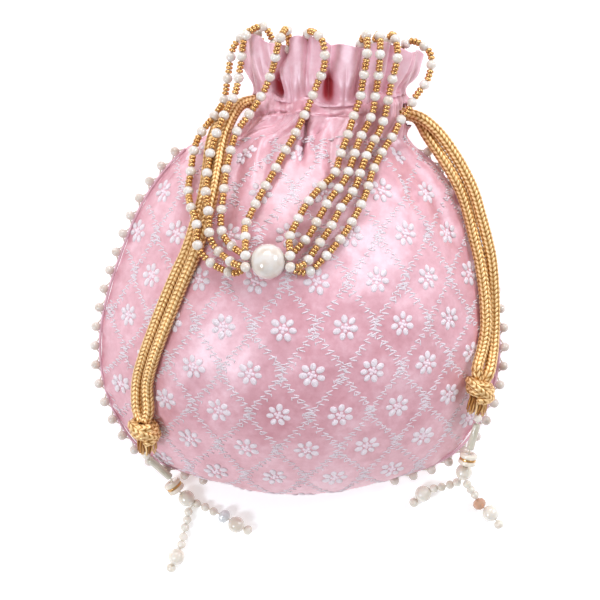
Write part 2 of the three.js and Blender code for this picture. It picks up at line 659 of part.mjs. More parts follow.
// Handle: four bead strands, each sewn inside the mouth at both ends and drawn through the big
// pearl. Both halves of a route are listed from the mouth to the pearl that touches the big one.
const centrePearl = new THREE.Vector3(-13.2, 2.3, 80);
const strandRoutes = [
  {
    left: [
      [-12.5, 86.5, 36.5], [-14, 92, 38], [-20, 103.2, 40], [-28, 97, 40.5], [-31, 84, 39.5],
      [-33, 72.5, 39], [-37.5, 65, 43.5], [-43, 57.5, 46.5], [-45.4, 50.8, 48.5], [-46.6, 42, 51],
      [-47.6, 33.7, 54], [-46.5, 26.6, 59.6], [-43.6, 18.7, 65.2], [-43.2, 9.5, 68.6],
      [-38.6, 2.9, 69.2], [-31.8, -1.2, 72], [-26.6, -2.4, 75.2],
    ],
    right: [
      [39.5, 86.5, 33], [41.5, 91, 33.2], [48, 98.8, 36.8], [56.5, 93.5, 40.5], [56, 83, 41],
      [49.8, 73.6, 42], [46.9, 68, 43], [43.4, 63.4, 44.8], [40.6, 57.6, 46.6], [37.2, 52.5, 49.8],
      [33.4, 46, 54.6], [30.6, 39.5, 59.2], [28.6, 32.5, 62.6], [24.5, 23.5, 67.2], [18.4, 13.5, 72],
      [10, 3.5, 75.4], [2.5, -2.4, 76.4],
    ],
  },
  {
    left: [
      [-8.5, 86.5, 38.5], [-9.5, 92, 40.4], [-15.5, 104.4, 44], [-23, 100.2, 47.4], [-25.4, 88, 44.6],
      [-27.6, 76.5, 43.5], [-31, 69, 46.2], [-34.8, 60, 51.5], [-37.8, 51, 53.6], [-39.4, 41.4, 57],
      [-39.8, 31.4, 62.6], [-38.4, 22.3, 67], [-37.8, 12.6, 68.8], [-34.6, 7.2, 69.6], [-30.8, 3.8, 73.4],
      [-27.4, 1.4, 79],
    ],
    right: [
      [33.5, 86.5, 37.4], [34.6, 91, 38.8], [40, 100.6, 47], [42, 91, 54], [39.8, 81, 51], [38, 71.9, 49],
      [36.8, 65.8, 48.6], [34.4, 59, 49.6], [30.2, 51.5, 53.8], [26.8, 43.2, 59.2], [23.4, 33.5, 63.8],
      [18, 26, 68], [12.6, 16, 73], [6.6, 7.5, 76.8], [1.6, 0.8, 80.4],
    ],
  },
  {
    left: [
      [-3.5, 86.5, 40.6], [-4, 92, 43.4], [-5.6, 102.6, 50.4], [-8.6, 97, 57], [-11.6, 85.3, 50.5],
      [-15.8, 75.2, 47.5], [-21.4, 66.3, 48.6], [-27, 58.4, 50.8], [-29.8, 48.8, 54.6], [-31.4, 40.7, 58.6],
      [-32.3, 31.1, 63], [-33.2, 23.2, 65], [-33, 15.7, 67], [-30.2, 10.6, 69.4], [-26.4, 7.2, 74.4],
    ],
    right: [
      [28.6, 86.5, 39.4], [29.6, 91, 41.8], [34, 100.4, 51.5], [34.4, 91, 57.4], [33.6, 81, 53.4],
      [32.4, 73, 50.6], [31.6, 67.5, 50.2], [29.4, 62, 51.2], [25.5, 54.5, 54.4], [22.3, 45, 59.4],
      [18.8, 36.5, 63.8], [13, 29, 68.4], [8.2, 20.9, 72], [3.4, 12.5, 75.2],
    ],
  },
  {
    left: [
      [3, 86.5, 41], [3, 92, 43], [4, 101.4, 51], [9.6, 97, 58], [10.6, 86.3, 56], [7.6, 78.9, 52.4],
      [4.9, 72.1, 50.6], [1.5, 64.3, 51.4], [-3.1, 55, 56], [-7.4, 47.6, 59], [-10.7, 41.1, 61.8],
      [-15.7, 32.2, 65.4], [-20.2, 23.5, 68.4], [-22.9, 17, 72], [-22.6, 11.8, 78.4],
    ],
    right: [
      [23, 86.5, 40.6], [24.4, 91, 43], [28.4, 100.4, 53.5], [28.8, 91.7, 58.4], [27.8, 84, 55.8],
      [26.8, 78, 53.4], [26, 72.8, 51.6], [23.6, 66.4, 51.2], [20.4, 56.3, 55.4], [17.2, 47.4, 58.8],
      [14.8, 39.8, 62.6], [9, 34.1, 66.8], [2.9, 26.5, 71], [-1.2, 18.9, 74.6], [-4.3, 11.8, 79],
    ],
  },
];

function addStrand(number, { left, right }) {
  const [acrossBore, upBore] = [[-1, -1], [-1, 1], [1, -1], [1, 1]][number - 1];
  const thread = new THREE.Vector3(0, acrossBore, upBore);
  const inBore = [-1, -0.5, 0.5, 1].map((share) => (
    centrePearl.clone().addScaledVector(thread, strandSpread)
      .add(new THREE.Vector3(share * (centrePearlDiameter / 2 + 0.5), 0, 0))
  ));
  const apart = handlePearlDiameter / 2 + beadStep;
  const touch = (centrePearlDiameter + handlePearlDiameter) / 2 + seamGap;
  const endReach = Math.sqrt(touch ** 2 - 2 * apart ** 2);
  const [leftEnd, rightEnd] = [-1, 1].map((side) => (
    centrePearl.clone().addScaledVector(thread, apart).add(new THREE.Vector3(side * endReach, 0, 0))
  ));
  const curve = new THREE.CatmullRomCurve3([
    ...toVectors(left), leftEnd, ...inBore, rightEnd, ...toVectors(right).reverse(),
  ], false, 'centripetal');
  const leftStop = distanceAlong(curve, leftEnd);
  const rightStop = distanceAlong(curve, rightEnd);
  const length = curve.getLength();
  const leftCount = Math.floor(leftStop / handlePitch);
  const rightCount = Math.floor((length - rightStop) / handlePitch);
  const reach = handlePearlDiameter / 2 + beadStep;
  const stops = [
    ...evenSteps(leftCount, 0, leftCount).map((step) => leftStop - step * handlePitch),
    ...evenSteps(0, rightCount, rightCount).map((step) => rightStop + step * handlePitch),
  ].filter((at) => at > reach && at < length - reach).map((at) => (
    { at, diameter: handlePearlDiameter, neck: goldSeedDiameter, rings: 2 }
  ));
  const boreStops = inBore.map((place) => distanceAlong(curve, place));
  const threads = [leftStop + reach, ...boreStops, rightStop - reach].map(bareThread);
  const order = [...stops, ...threads].sort((a, b) => a.at - b.at);
  const profile = beadProfile(order, length);
  const geometry = bendAlong(new THREE.LatheGeometry(profile, strandSides), curve);
  addPiece(`handle_strand_${number}`, geometry, materials.pearl);
}

strandRoutes.forEach((route, index) => addStrand(index + 1, route));

function addCentrePearl() {
  const bore = centreBoreDiameter / 2;
  const outline = roundOutline(centrePearlDiameter, centreBoreDiameter, 8);
  const [first, last] = [outline[0][1], outline.at(-1)[1]];
  const points = [[bore, first], ...outline.slice(1, -1), [bore, last], [bore, first]];
  const ball = new THREE.LatheGeometry(points.map(([x, y]) => new THREE.Vector2(x, y)), 12);
  const side = new THREE.Vector3(1, 0, 0);
  addPiece('centre_pearl', layBetween(ball, centrePearl.clone().sub(side), centrePearl.clone().add(side)),
    materials.pearl);
}

addCentrePearl();

export default bag;
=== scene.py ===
# Drawstring potli bag on its back: stuffed satin pouch with thread embroidery, gathered neck and
# frill, two gold drawcords with bead tassels, and a four-strand pearl handle.
# Sizes in the dictionaries are millimetres, and everything is turned to metres when a mesh is made.
import json
import math

import bpy
import numpy as np
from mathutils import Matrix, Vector
from mathutils.kdtree import KDTree

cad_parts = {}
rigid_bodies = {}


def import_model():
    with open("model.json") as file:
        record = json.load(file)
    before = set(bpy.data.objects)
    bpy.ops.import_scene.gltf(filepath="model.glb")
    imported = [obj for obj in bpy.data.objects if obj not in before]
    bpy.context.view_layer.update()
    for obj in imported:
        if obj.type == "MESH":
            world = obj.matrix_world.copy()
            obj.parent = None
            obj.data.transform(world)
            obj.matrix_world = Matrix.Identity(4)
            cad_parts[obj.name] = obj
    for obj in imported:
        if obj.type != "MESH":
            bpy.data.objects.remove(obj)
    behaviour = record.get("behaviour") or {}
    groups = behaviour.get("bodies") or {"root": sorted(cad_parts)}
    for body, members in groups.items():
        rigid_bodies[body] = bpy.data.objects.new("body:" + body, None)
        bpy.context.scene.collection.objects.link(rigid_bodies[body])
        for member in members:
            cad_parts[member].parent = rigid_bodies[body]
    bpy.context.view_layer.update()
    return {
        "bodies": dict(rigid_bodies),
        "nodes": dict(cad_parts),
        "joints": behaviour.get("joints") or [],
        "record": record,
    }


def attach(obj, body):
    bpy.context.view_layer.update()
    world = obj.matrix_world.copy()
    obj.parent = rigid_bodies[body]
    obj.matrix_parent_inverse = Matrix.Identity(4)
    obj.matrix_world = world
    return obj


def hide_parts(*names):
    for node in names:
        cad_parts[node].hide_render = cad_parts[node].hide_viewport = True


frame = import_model()
mm = 0.001
body = "root"

# camera
view = {
    "lens": 150.8,  # the frame is 262.6 mm wide at the height of the bag's middle
    "sensor": 36,
    "place": (0.2, -13.8, 1130),
}
cameraData = bpy.data.cameras.new("photoCamera")
cameraData.lens = view["lens"]
cameraData.sensor_width = view["sensor"]
cameraData.clip_start = 0.01
camera = bpy.data.objects.new("photoCamera", cameraData)
camera.location = [value * mm for value in view["place"]]
bpy.context.scene.collection.objects.link(camera)
bpy.context.scene.camera = camera
print("camera is set")


# helpers
def srgb(code):
    values = [int(code[i:i + 2], 16) / 255 for i in (1, 3, 5)]
    linear = [v / 12.92 if v <= 0.04045 else ((v + 0.055) / 1.055) ** 2.4 for v in values]
    return (*linear, 1)


def feed(tree, node, inputs):
    # a socket is linked to the input, and a plain value is set there
    for name, value in inputs.items():
        if isinstance(value, bpy.types.NodeSocket):
            tree.links.new(value, node.inputs[name])
        else:
            node.inputs[name].default_value = value


def addNode(tree, kind, inputs=None, **settings):
    node = tree.nodes.new(kind)
    for name, value in settings.items():
        setattr(node, name, value)
    feed(tree, node, inputs or {})
    return node


def coordinates(tree, kind):
    return addNode(tree, "ShaderNodeTexCoord").outputs[kind]


def mathNode(tree, operation, first, second):
    return addNode(tree, "ShaderNodeMath", {0: first, 1: second}, operation=operation).outputs[0]


def newMaterial(name):
    material = bpy.data.materials.new(name)
    material.use_nodes = True
    tree = material.node_tree
    tree.nodes.clear()
    shader = addNode(tree, "ShaderNodeBsdfPrincipled")
    addNode(tree, "ShaderNodeOutputMaterial", {"Surface": shader.outputs["BSDF"]})
    return material, tree, shader


def colourRamp(tree, factor, stops):
    ramp = addNode(tree, "ShaderNodeValToRGB", {"Fac": factor})
    elements = ramp.color_ramp.elements
    while len(elements) < len(stops):
        elements.new(0.5)
    for element, (position, code) in zip(elements, stops):
        element.position = position
        element.color = srgb(code)
    return ramp.outputs["Color"]


def meshPiece(name, points, faces, material, uv=None, attributes=None):
    # points in mm, faces as lists of their numbers
    mesh = bpy.data.meshes.new(name)
    mesh.from_pydata((points * mm).tolist(), [], faces)
    if uv is not None:
        layer = mesh.uv_layers.new(name="pieceMap")
        loops = np.zeros(len(mesh.loops), np.int32)
        mesh.loops.foreach_get("vertex_index", loops)
        layer.data.foreach_set("uv", np.asarray(uv, np.float32)[loops].ravel())
    for key, values in (attributes or {}).items():
        attribute = mesh.attributes.new(key, "FLOAT", "POINT")
        attribute.data.foreach_set("value", np.asarray(values, np.float32))
    mesh.polygons.foreach_set("use_smooth", [True] * len(mesh.polygons))
    mesh.materials.append(material)
    obj = bpy.data.objects.new(name, mesh)
    bpy.context.scene.collection.objects.link(obj)
    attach(obj, body)
    return obj


def deselect():
    bpy.ops.object.select_all(action="DESELECT")


def shapeArrays(obj):
    # corners in mm and faces of a finished primitive, which is then removed
    mesh = obj.data
    matrix = np.array(obj.matrix_world)
    points = np.array([v.co[:] for v in mesh.vertices])
    points = (points @ matrix[:3, :3].T + matrix[:3, 3]) / mm
    faces = [list(p.vertices) for p in mesh.polygons]
    bpy.data.objects.remove(obj)
    return points, faces


def stretched(scale):
    # the primitive that was just added, as arrays
    obj = bpy.context.object
    obj.scale = scale
    bpy.ops.object.transform_apply(location=False, rotation=False, scale=True)
    return shapeArrays(obj)


def joinShapes(shapes):
    points, faces, base = [], [], 0
    for shapePoints, shapeFaces in shapes:
        points.append(shapePoints)
        faces.extend([[base + v for v in face] for face in shapeFaces])
        base += len(shapePoints)
    return np.vstack(points), faces


def pointTree(points):
    tree = KDTree(len(points))
    for i, p in enumerate(points):
        tree.insert(p, i)
    tree.balance()
    return tree


def splineSample(points, share):
    # centripetal spline through the points, at shares of its steps from point to point
    pts = np.asarray(points, float)
    count = len(pts)
    place = np.clip(np.asarray(share, float), 0, 1) * (count - 1)
    low = np.clip(np.floor(place).astype(int), 0, count - 2)
    w = (place - low)[:, None]
    padded = np.vstack([2 * pts[0] - pts[1], pts, 2 * pts[-1] - pts[-2]])
    p0, p1, p2, p3 = padded[low], padded[low + 1], padded[low + 2], padded[low + 3]
    root = [np.sqrt(np.linalg.norm(b - a, axis=1))[:, None] for a, b in ((p0, p1), (p1, p2), (p2, p3))]
    d1 = np.where(root[1] < 1e-4, 1.0, root[1])
    d0 = np.where(root[0] < 1e-4, d1, root[0])
    d2 = np.where(root[2] < 1e-4, d1, root[2])
    t1 = ((p1 - p0) / d0 - (p2 - p0) / (d0 + d1) + (p2 - p1) / d1) * d1
    t2 = ((p2 - p1) / d1 - (p3 - p1) / (d1 + d2) + (p3 - p2) / d2) * d1
    return p1 + t1 * w + (3 * (p2 - p1) - 2 * t1 - t2) * w ** 2 + (2 * (p1 - p2) + t1 + t2) * w ** 3


def distances(path):
    return np.concatenate([[0], np.cumsum(np.linalg.norm(np.diff(path, axis=0), axis=1))])


def valuesAt(at, along, values):
    # rows of values, between those at the distances along
    return np.stack([np.interp(at, along, values[:, axis]) for axis in range(3)], axis=-1)


def evenPath(points, step):
    # points at an even distance along the spline, with their distances
    dense = splineSample(points, np.linspace(0, 1, 60 * len(points)))
    along = distances(dense)
    count = max(int(round(along[-1] / step)), 2)
    at = np.linspace(0, along[-1], count + 1)
    return valuesAt(at, along, dense), at


def pathFrames(path, up=(0, 0, 1)):
    tangent = np.gradient(path, axis=0)
    tangent /= np.linalg.norm(tangent, axis=1)[:, None]
    normal = np.zeros_like(path)
    current = np.array(up, float)
    for i, t in enumerate(tangent):
        current = current - t * current.dot(t)
        current /= np.linalg.norm(current)
        normal[i] = current
    return tangent, normal, np.cross(tangent, normal)


def gridFaces(rowTotal, columnTotal, base=0, flip=False):
    # quads of a grid that closes on itself across its columns
    i, j = np.meshgrid(np.arange(rowTotal - 1), np.arange(columnTotal), indexing="ij")
    n = (j + 1) % columnTotal
    row, after = i * columnTotal, (i + 1) * columnTotal
    quad = [row + j, row + n, after + n, after + j]
    if flip:
        quad = quad[::-1]
    return (np.stack(quad, -1).reshape(-1, 4) + base).tolist()


def cappedFaces(rowTotal, sides):
    # the faces of a tube with a flat polygon at either end
    ends = [list(range(sides))[::-1], [(rowTotal - 1) * sides + k for k in range(sides)]]
    return gridFaces(rowTotal, sides) + ends


def tubeGrid(path, sides):
    # grids of the distance along a path and of the angle round it
    angle = np.linspace(0, 2 * math.pi, sides, endpoint=False)
    return np.meshgrid(distances(path), angle, indexing="ij")


def tubeRings(path, radius, a, up=(0, 0, 1)):
    _, normal, side = pathFrames(path, up)
    return path[:, None] + radius[..., None] * (
        np.cos(a)[..., None] * normal[:, None] + np.sin(a)[..., None] * side[:, None])


def tubePiece(name, path, radiusAt, sides, material, uvScale=1.0):
    # closed tube round a path; radiusAt(distance, angle) gives the radius in mm
    s, a = tubeGrid(path, sides)
    ring = tubeRings(path, radiusAt(s, a), a)
    rows = len(path)
    points = np.vstack([ring.reshape(-1, 3), path[:1], path[-1:]])
    faces = gridFaces(rows, sides)
    first, last = rows * sides, rows * sides + 1
    for k in range(sides):
        m = (k + 1) % sides
        faces.append([first, m, k])
        faces.append([last, (rows - 1) * sides + k, (rows - 1) * sides + m])
    uv = np.vstack([np.stack([s / uvScale, a / (2 * math.pi)], -1).reshape(-1, 2), [[0, 0], [0, 0]]])
    return meshPiece(name, points, faces, material, uv=uv)


def copiesPiece(name, shape, frames, material, uv=None):
    # one mesh of many copies of a shape; frames holds (centre, 3x3 axes as columns) of each
    points, faces = shape
    every, allFaces = joinShapes([(points @ axes.T + centre, faces) for centre, axes in frames])
    every[:, 2] = np.maximum(every[:, 2], 0)  # pressed flat where the bag lies on the table
    allUv = None if uv is None else np.tile(uv, (len(frames), 1))
    return meshPiece(name, every, allFaces, material, uv=allUv)


def axesAlong(direction):
    # columns are side, up and direction
    z = direction / np.linalg.norm(direction)
    y = np.array([0, 0, 1]) - z * z[2]
    if np.linalg.norm(y) < 1e-3:
        y = np.array([0, 1, 0]) - z * z[1]
    y = y / np.linalg.norm(y)
    return np.stack([np.cross(y, z), y, z], axis=1)


# materials
def satinMaterial(name, deep, mid, light, foldShadeColour=None):
    # satin-woven polyester: long floats laid one way give a smooth, broad sheen and fine ribs
    material, tree, shader = newMaterial(name)
    place = coordinates(tree, "Object")
    cloud = addNode(tree, "ShaderNodeTexNoise", {
        "Vector": place, "Scale": 38, "Detail": 4, "Roughness": 0.6}).outputs["Fac"]
    fine = addNode(tree, "ShaderNodeTexNoise", {
        "Vector": place, "Scale": 260, "Detail": 5, "Roughness": 0.65}).outputs["Fac"]
    half = mathNode(tree, "MULTIPLY", mathNode(tree, "ADD", cloud, fine), 0.5)
    colour = colourRamp(tree, half, [(0.36, deep), (0.5, mid), (0.64, light)])
    # thread pitch is 0.2 mm in the real cloth, drawn at 0.35 mm so that it shows
    pitch, wavesToUnit = 0.35 * mm, 20 / (2 * math.pi)
    ribs = addNode(tree, "ShaderNodeTexWave", {
        "Vector": place, "Scale": 1 / (wavesToUnit * pitch), "Distortion": 1.6, "Detail": 2,
        "Detail Scale": 3}, bands_direction="X")
    height = mathNode(tree, "ADD", mathNode(tree, "MULTIPLY", ribs.outputs["Fac"], 0.35), fine)
    raised = addNode(tree, "ShaderNodeBump", {"Height": height, "Strength": 0.25, "Distance": 0.3 * mm})
    rough = addNode(tree, "ShaderNodeMapRange", {
        "Value": cloud, "From Min": 0.3, "From Max": 0.7, "To Min": 0.33, "To Max": 0.45})
    if foldShadeColour:
        # painted shade: the colour turns deep rose where the ruffle is folded in
        paintedShade = addNode(tree, "ShaderNodeAttribute", attribute_name="paintedShade")
        mixed = addNode(tree, "ShaderNodeMix", {
            "Factor": paintedShade.outputs["Fac"], "A": colour, "B": srgb(foldShadeColour)}, data_type="RGBA")
        colour = mixed.outputs["Result"]
    feed(tree, shader, {
        "Base Color": colour, "Roughness": rough.outputs["Result"], "Normal": raised.outputs["Normal"],
        "IOR": 1.5, "Specular IOR Level": 1.0,
        "Sheen Weight": 0.25, "Sheen Roughness": 0.4, "Sheen Tint": srgb("#f0a2b0"),
        # the floats on top shine on their own, smoother than the ribs below
        "Coat Weight": 0.5, "Coat Roughness": 0.36, "Coat IOR": 1.7})
    return material


def threadMaterial(name, dark, light, roughness):
    # twisted rayon thread: soft shine broken by the lay of the fibres
    material, tree, shader = newMaterial(name)
    lines = addNode(tree, "ShaderNodeTexWave", {
        "Vector": coordinates(tree, "UV"), "Scale": 2.2, "Distortion": 1.2}, bands_direction="Y")
    raised = addNode(tree, "ShaderNodeBump", {
        "Height": lines.outputs["Fac"], "Strength": 0.5, "Distance": 0.15 * mm})
    feed(tree, shader, {
        "Base Color": colourRamp(tree, lines.outputs["Fac"], [(0.1, dark), (0.75, light)]),
        "Normal": raised.outputs["Normal"], "Roughness": roughness, "IOR": 1.52, "Sheen Weight": 0.2})
    return material


def tintedMaterial(name, grain, stops, settings):
    # a faint cloudy tint over the whole surface
    material, tree, shader = newMaterial(name)
    cloud = addNode(tree, "ShaderNodeTexNoise", {
        "Vector": coordinates(tree, "Object"), "Scale": grain, "Detail": 2})
    feed(tree, shader, {"Base Color": colourRamp(tree, cloud.outputs["Fac"], stops), **settings})
    return material


def pearlMaterial(name, low, high, roughness):
    # moulded bead with a dipped nacre coat: milky body under a thin clear gloss
    return tintedMaterial(name, 220, [(0.3, low), (0.65, high)], {
        "Roughness": roughness, "IOR": 1.53, "Subsurface Weight": 0.25,
        "Subsurface Radius": (1, 0.8, 0.6), "Subsurface Scale": 0.8 * mm,
        "Coat Weight": 0.7, "Coat Roughness": 0.12})


def goldThreadMaterial(name):
    # lurex braid: gilt foil strip over a core thread, with painted highlight on the crowns and brown painted
    # shade in the hollows between them
    material, tree, shader = newMaterial(name)
    fine = addNode(tree, "ShaderNodeTexNoise", {
        "Vector": coordinates(tree, "UV"), "Scale": 9, "Detail": 3}).outputs["Fac"]
    crownLight = addNode(tree, "ShaderNodeAttribute", attribute_name="crown").outputs["Fac"]
    level = mathNode(tree, "ADD", crownLight, mathNode(tree, "MULTIPLY", mathNode(tree, "ADD", fine, -0.5), 0.35))
    raised = addNode(tree, "ShaderNodeBump", {"Height": fine, "Strength": 0.4, "Distance": 0.12 * mm})
    feed(tree, shader, {
        "Base Color": colourRamp(tree, level, [(0.05, "#764012"), (0.42, "#c0853f"), (0.92, "#fcd69c")]),
        "Normal": raised.outputs["Normal"], "Metallic": 0.45, "Roughness": 0.38})
    return material


def goldBeadMaterial(name):
    # glass seed bead with a baked gilt coat: a hard yellow metal gloss
    return tintedMaterial(name, 400, [(0.3, "#c68f52"), (0.7, "#e9bd80")], {
        "Metallic": 0.85, "Roughness": 0.24})


def glassBeadMaterial(name, low, high, transmission):
    # pressed glass bead: clear body with a little tint and a sharp gloss
    return tintedMaterial(name, 150, [(0.3, low), (0.7, high)], {
        "Roughness": 0.08, "IOR": 1.52, "Transmission Weight": transmission})


pinkSatin = satinMaterial("pinkSatin", "#cf8a95", "#dea1ac", "#edbcc6")
# the deep rose given last is painted shade, mixed in where the ruffle is folded in
frillSatin = satinMaterial("frillSatin", "#dfa3b1", "#e8b4c0", "#f2c9d3", foldShadeColour="#d04c58")
pinkPiping = threadMaterial("pinkPiping", "#dca6b3", "#ebc2cd", 0.62)
roseLining = satinMaterial("roseLining", "#a8384b", "#bb4a5e", "#cc6073")
whiteThread = threadMaterial("whiteThread", "#efd8e0", "#fff4f8", 0.42)
nacrePearl = pearlMaterial("nacrePearl", "#d8c6b6", "#e3dbd5", 0.2)
shellPearl = pearlMaterial("shellPearl", "#e2d4c3", "#f3eade", 0.24)
# a darker copy of the pearl finish for the edge row: painted shade
edgePearl = pearlMaterial("edgePearl", "#cdbaac", "#e2d5cb", 0.26)
creamBead = pearlMaterial("creamBead", "#e6d3bd", "#f2e6d6", 0.2)
giltBraid = goldThreadMaterial("giltBraid")
giltBead = goldBeadMaterial("giltBead")
clearGlass = glassBeadMaterial("clearGlass", "#e3dac4", "#f2ebda", 0.3)
crystalGlass = glassBeadMaterial("crystalGlass", "#ecedf0", "#ffffff", 0.35)
peachGlass = glassBeadMaterial("peachGlass", "#dfa98a", "#efc9ae", 0.5)
stringThread = threadMaterial("stringThread", "#d8c8b4", "#f0e6d8", 0.5)
print("materials are made")

# the pouch's lofted cloth
pouch = {
    "width": 174.6, "height": 158.5, "thickness": 75,
    "bottomSeam": (1.5, -95, 8.5),
    "neckWidth": 68, "neckThickness": 36, "neckCentre": (13.2, 30),
    "channelHeight": 13.5, "frillWidth": 80, "frillThickness": 46, "frillHeight": 19.5, "frillSlope": 5.5,
    "wall": 1.2, "liningWall": 0.8, "shoulderLean": 4.6,
    # across, up, rise, front crest up and height, back crest up and height, pinch, pleat share
    "stations": [
        (0.000, 0.000, 0.00, 0.000, 0.113, 0.000, 0.113, 1.6, 0.0),
        (0.355, 0.006, 0.00, -0.031, 0.200, 0.032, 0.040, 1.6, 0.0),
        (0.607, 0.038, 0.05, -0.016, 0.320, 0.076, -0.050, 1.7, 0.0),
        (0.785, 0.088, 0.16, 0.025, 0.447, 0.126, -0.120, 1.8, 0.0),
        (0.911, 0.177, 0.33, 0.088, 0.607, 0.196, -0.150, 1.8, 0.0),
        (0.985, 0.290, 0.49, 0.183, 0.787, 0.290, -0.160, 1.8, 0.0),
        (1.000, 0.404, 0.63, 0.328, 0.940, 0.404, -0.160, 1.8, 0.0),
        (0.962, 0.524, 0.74, 0.486, 1.000, 0.524, -0.150, 1.8, 0.0),
        (0.882, 0.656, 0.86, 0.631, 0.973, 0.656, -0.110, 1.8, 0.2),
        (0.797, 0.770, 0.93, 0.757, 0.893, 0.770, -0.040, 1.7, 0.6),
        (0.675, 0.874, 0.98, 0.864, 0.793, 0.874, 0.040, 1.5, 1.0),
        (0.515, 0.956, 1.00, 0.946, 0.693, 0.950, 0.113, 1.25, 1.2),
    ],
}
rows = pouch["stations"]
neckStation, frillStation = len(rows), len(rows) + 3
seamX, seamY, seamZ = pouch["bottomSeam"]
neckX, neckZ = pouch["neckCentre"]
neckY = seamY + pouch["height"]
channelTopY = neckY + pouch["channelHeight"]
frillTopY = channelTopY + pouch["frillHeight"]


def sideRail(side):
    points = []
    for station, (across, up, rise, *_) in enumerate(rows):
        lean = seamX + (pouch["shoulderLean"] - seamX) * (station / neckStation) ** 6
        x = lean + side * across * pouch["width"] / 2 - seamX * min(across * 2, 1)
        points.append((x, seamY + pouch["height"] * up, seamZ + (neckZ - seamZ) * rise))
    slope = -side * pouch["frillSlope"] / 2
    half, wide = pouch["neckWidth"] / 2, pouch["frillWidth"] / 2
    points.append((neckX + side * half, neckY, neckZ))
    points.append((neckX + side * half, channelTopY, neckZ))
    middleY = channelTopY + pouch["frillHeight"] / 2
    points.append((neckX + side * (half + wide) / 2, middleY + slope / 2, neckZ))
    points.append((neckX + side * wide, frillTopY + slope, neckZ))
    return np.array(points)


def crestRail(face):
    column = 3 if face > 0 else 5
    points = [(0, seamY + pouch["height"] * row[column],
               seamZ if station == 0 else pouch["thickness"] * row[column + 1])
              for station, row in enumerate(rows)]
    half, wide = pouch["neckThickness"] / 2, pouch["frillThickness"] / 2
    points.append((0, neckY, neckZ + face * half))
    points.append((0, channelTopY, neckZ + face * half))
    points.append((0, channelTopY + pouch["frillHeight"] / 2, neckZ + face * (half + wide) / 2))
    points.append((0, frillTopY, neckZ + face * wide))
    return np.array(points)


rails = {"right": sideRail(1), "left": sideRail(-1), "front": crestRail(1), "back": crestRail(-1)}


def railAt(name, station, inset):
    # points of a rail moved in by the inset, in mm, and the directions they moved in
    share = np.asarray(station, float) / frillStation
    point = splineSample(rails[name], share)
    tangent = splineSample(rails[name], share + 1e-4) - splineSample(rails[name], share - 1e-4)
    if name in ("right", "left"):
        side = 1 if name == "right" else -1
        inward = np.stack([-side * tangent[:, 1], side * tangent[:, 0], 0 * tangent[:, 0]], 1)
    else:
        face = 1 if name == "front" else -1
        inward = np.stack([0 * tangent[:, 0], face * tangent[:, 2], -face * tangent[:, 1]], 1)
    inward /= np.maximum(np.linalg.norm(inward, axis=1), 1e-9)[:, None]
    return point + inward * np.reshape(inset, (-1, 1)), inward


def stationValue(column, after, station):
    # a column of the stations' table between its rows, going on with the values after it
    values = [row[column] for row in rows] + after
    return np.interp(station, np.arange(len(values)), values)


def clothGrid(station, turn, inset=0.0, sideInset=0.0):
    # cloth points on a grid of stations and turns, without pleats; turn 0 is the right seam
    station = np.asarray(station, float)
    inset = np.broadcast_to(inset, station.shape)
    right, left, front, back = (railAt(name, station, inset)[0]
                                for name in ("right", "left", "front", "back"))
    centre = (right + left) / 2
    half = (right - left) / 2
    length = np.linalg.norm(half, axis=1)
    half = half * ((length - sideInset) / np.maximum(length, 1e-9))[:, None]
    sine, cosine = np.sin(turn), np.cos(turn)
    crest = np.where((sine >= 0)[None, :, None], front[:, None], back[:, None]).copy()
    crest[..., 0] = centre[:, None, 0]
    pinch = stationValue(7, [1, 1, 1, 1], station)
    bulge = np.abs(sine)[None] ** pinch[:, None]
    point = centre[:, None] + half[:, None] * cosine[None, :, None]
    point = point + (crest - centre[:, None]) * bulge[..., None]
    point[..., 2] = np.maximum(point[..., 2], inset[:, None])
    return point


def gridNormals(grid):
    down = np.gradient(grid, axis=0)
    across = (np.roll(grid, -1, axis=1) - np.roll(grid, 1, axis=1)) / 2
    normal = np.cross(across, down)
    length = np.linalg.norm(normal, axis=2)[..., None]
    return -normal / np.maximum(length, 1e-9)


def smoothStep(value, low, high):
    t = np.clip((value - low) / (high - low), 0, 1)
    return t * t * (3 - 2 * t)


def waves(a, b, seed, low, high, count=10):
    # smooth noise of two grids of coordinates in mm, about -1 to 1
    source = np.random.default_rng(seed)
    total = np.zeros(np.broadcast(a, b).shape)
    for _ in range(count):
        size = source.uniform(low, high)
        heading = source.uniform(0, math.pi)
        start = source.uniform(0, 2 * math.pi)
        total += np.sin((a * math.cos(heading) + b * math.sin(heading)) * size + start)
    return total / math.sqrt(count)


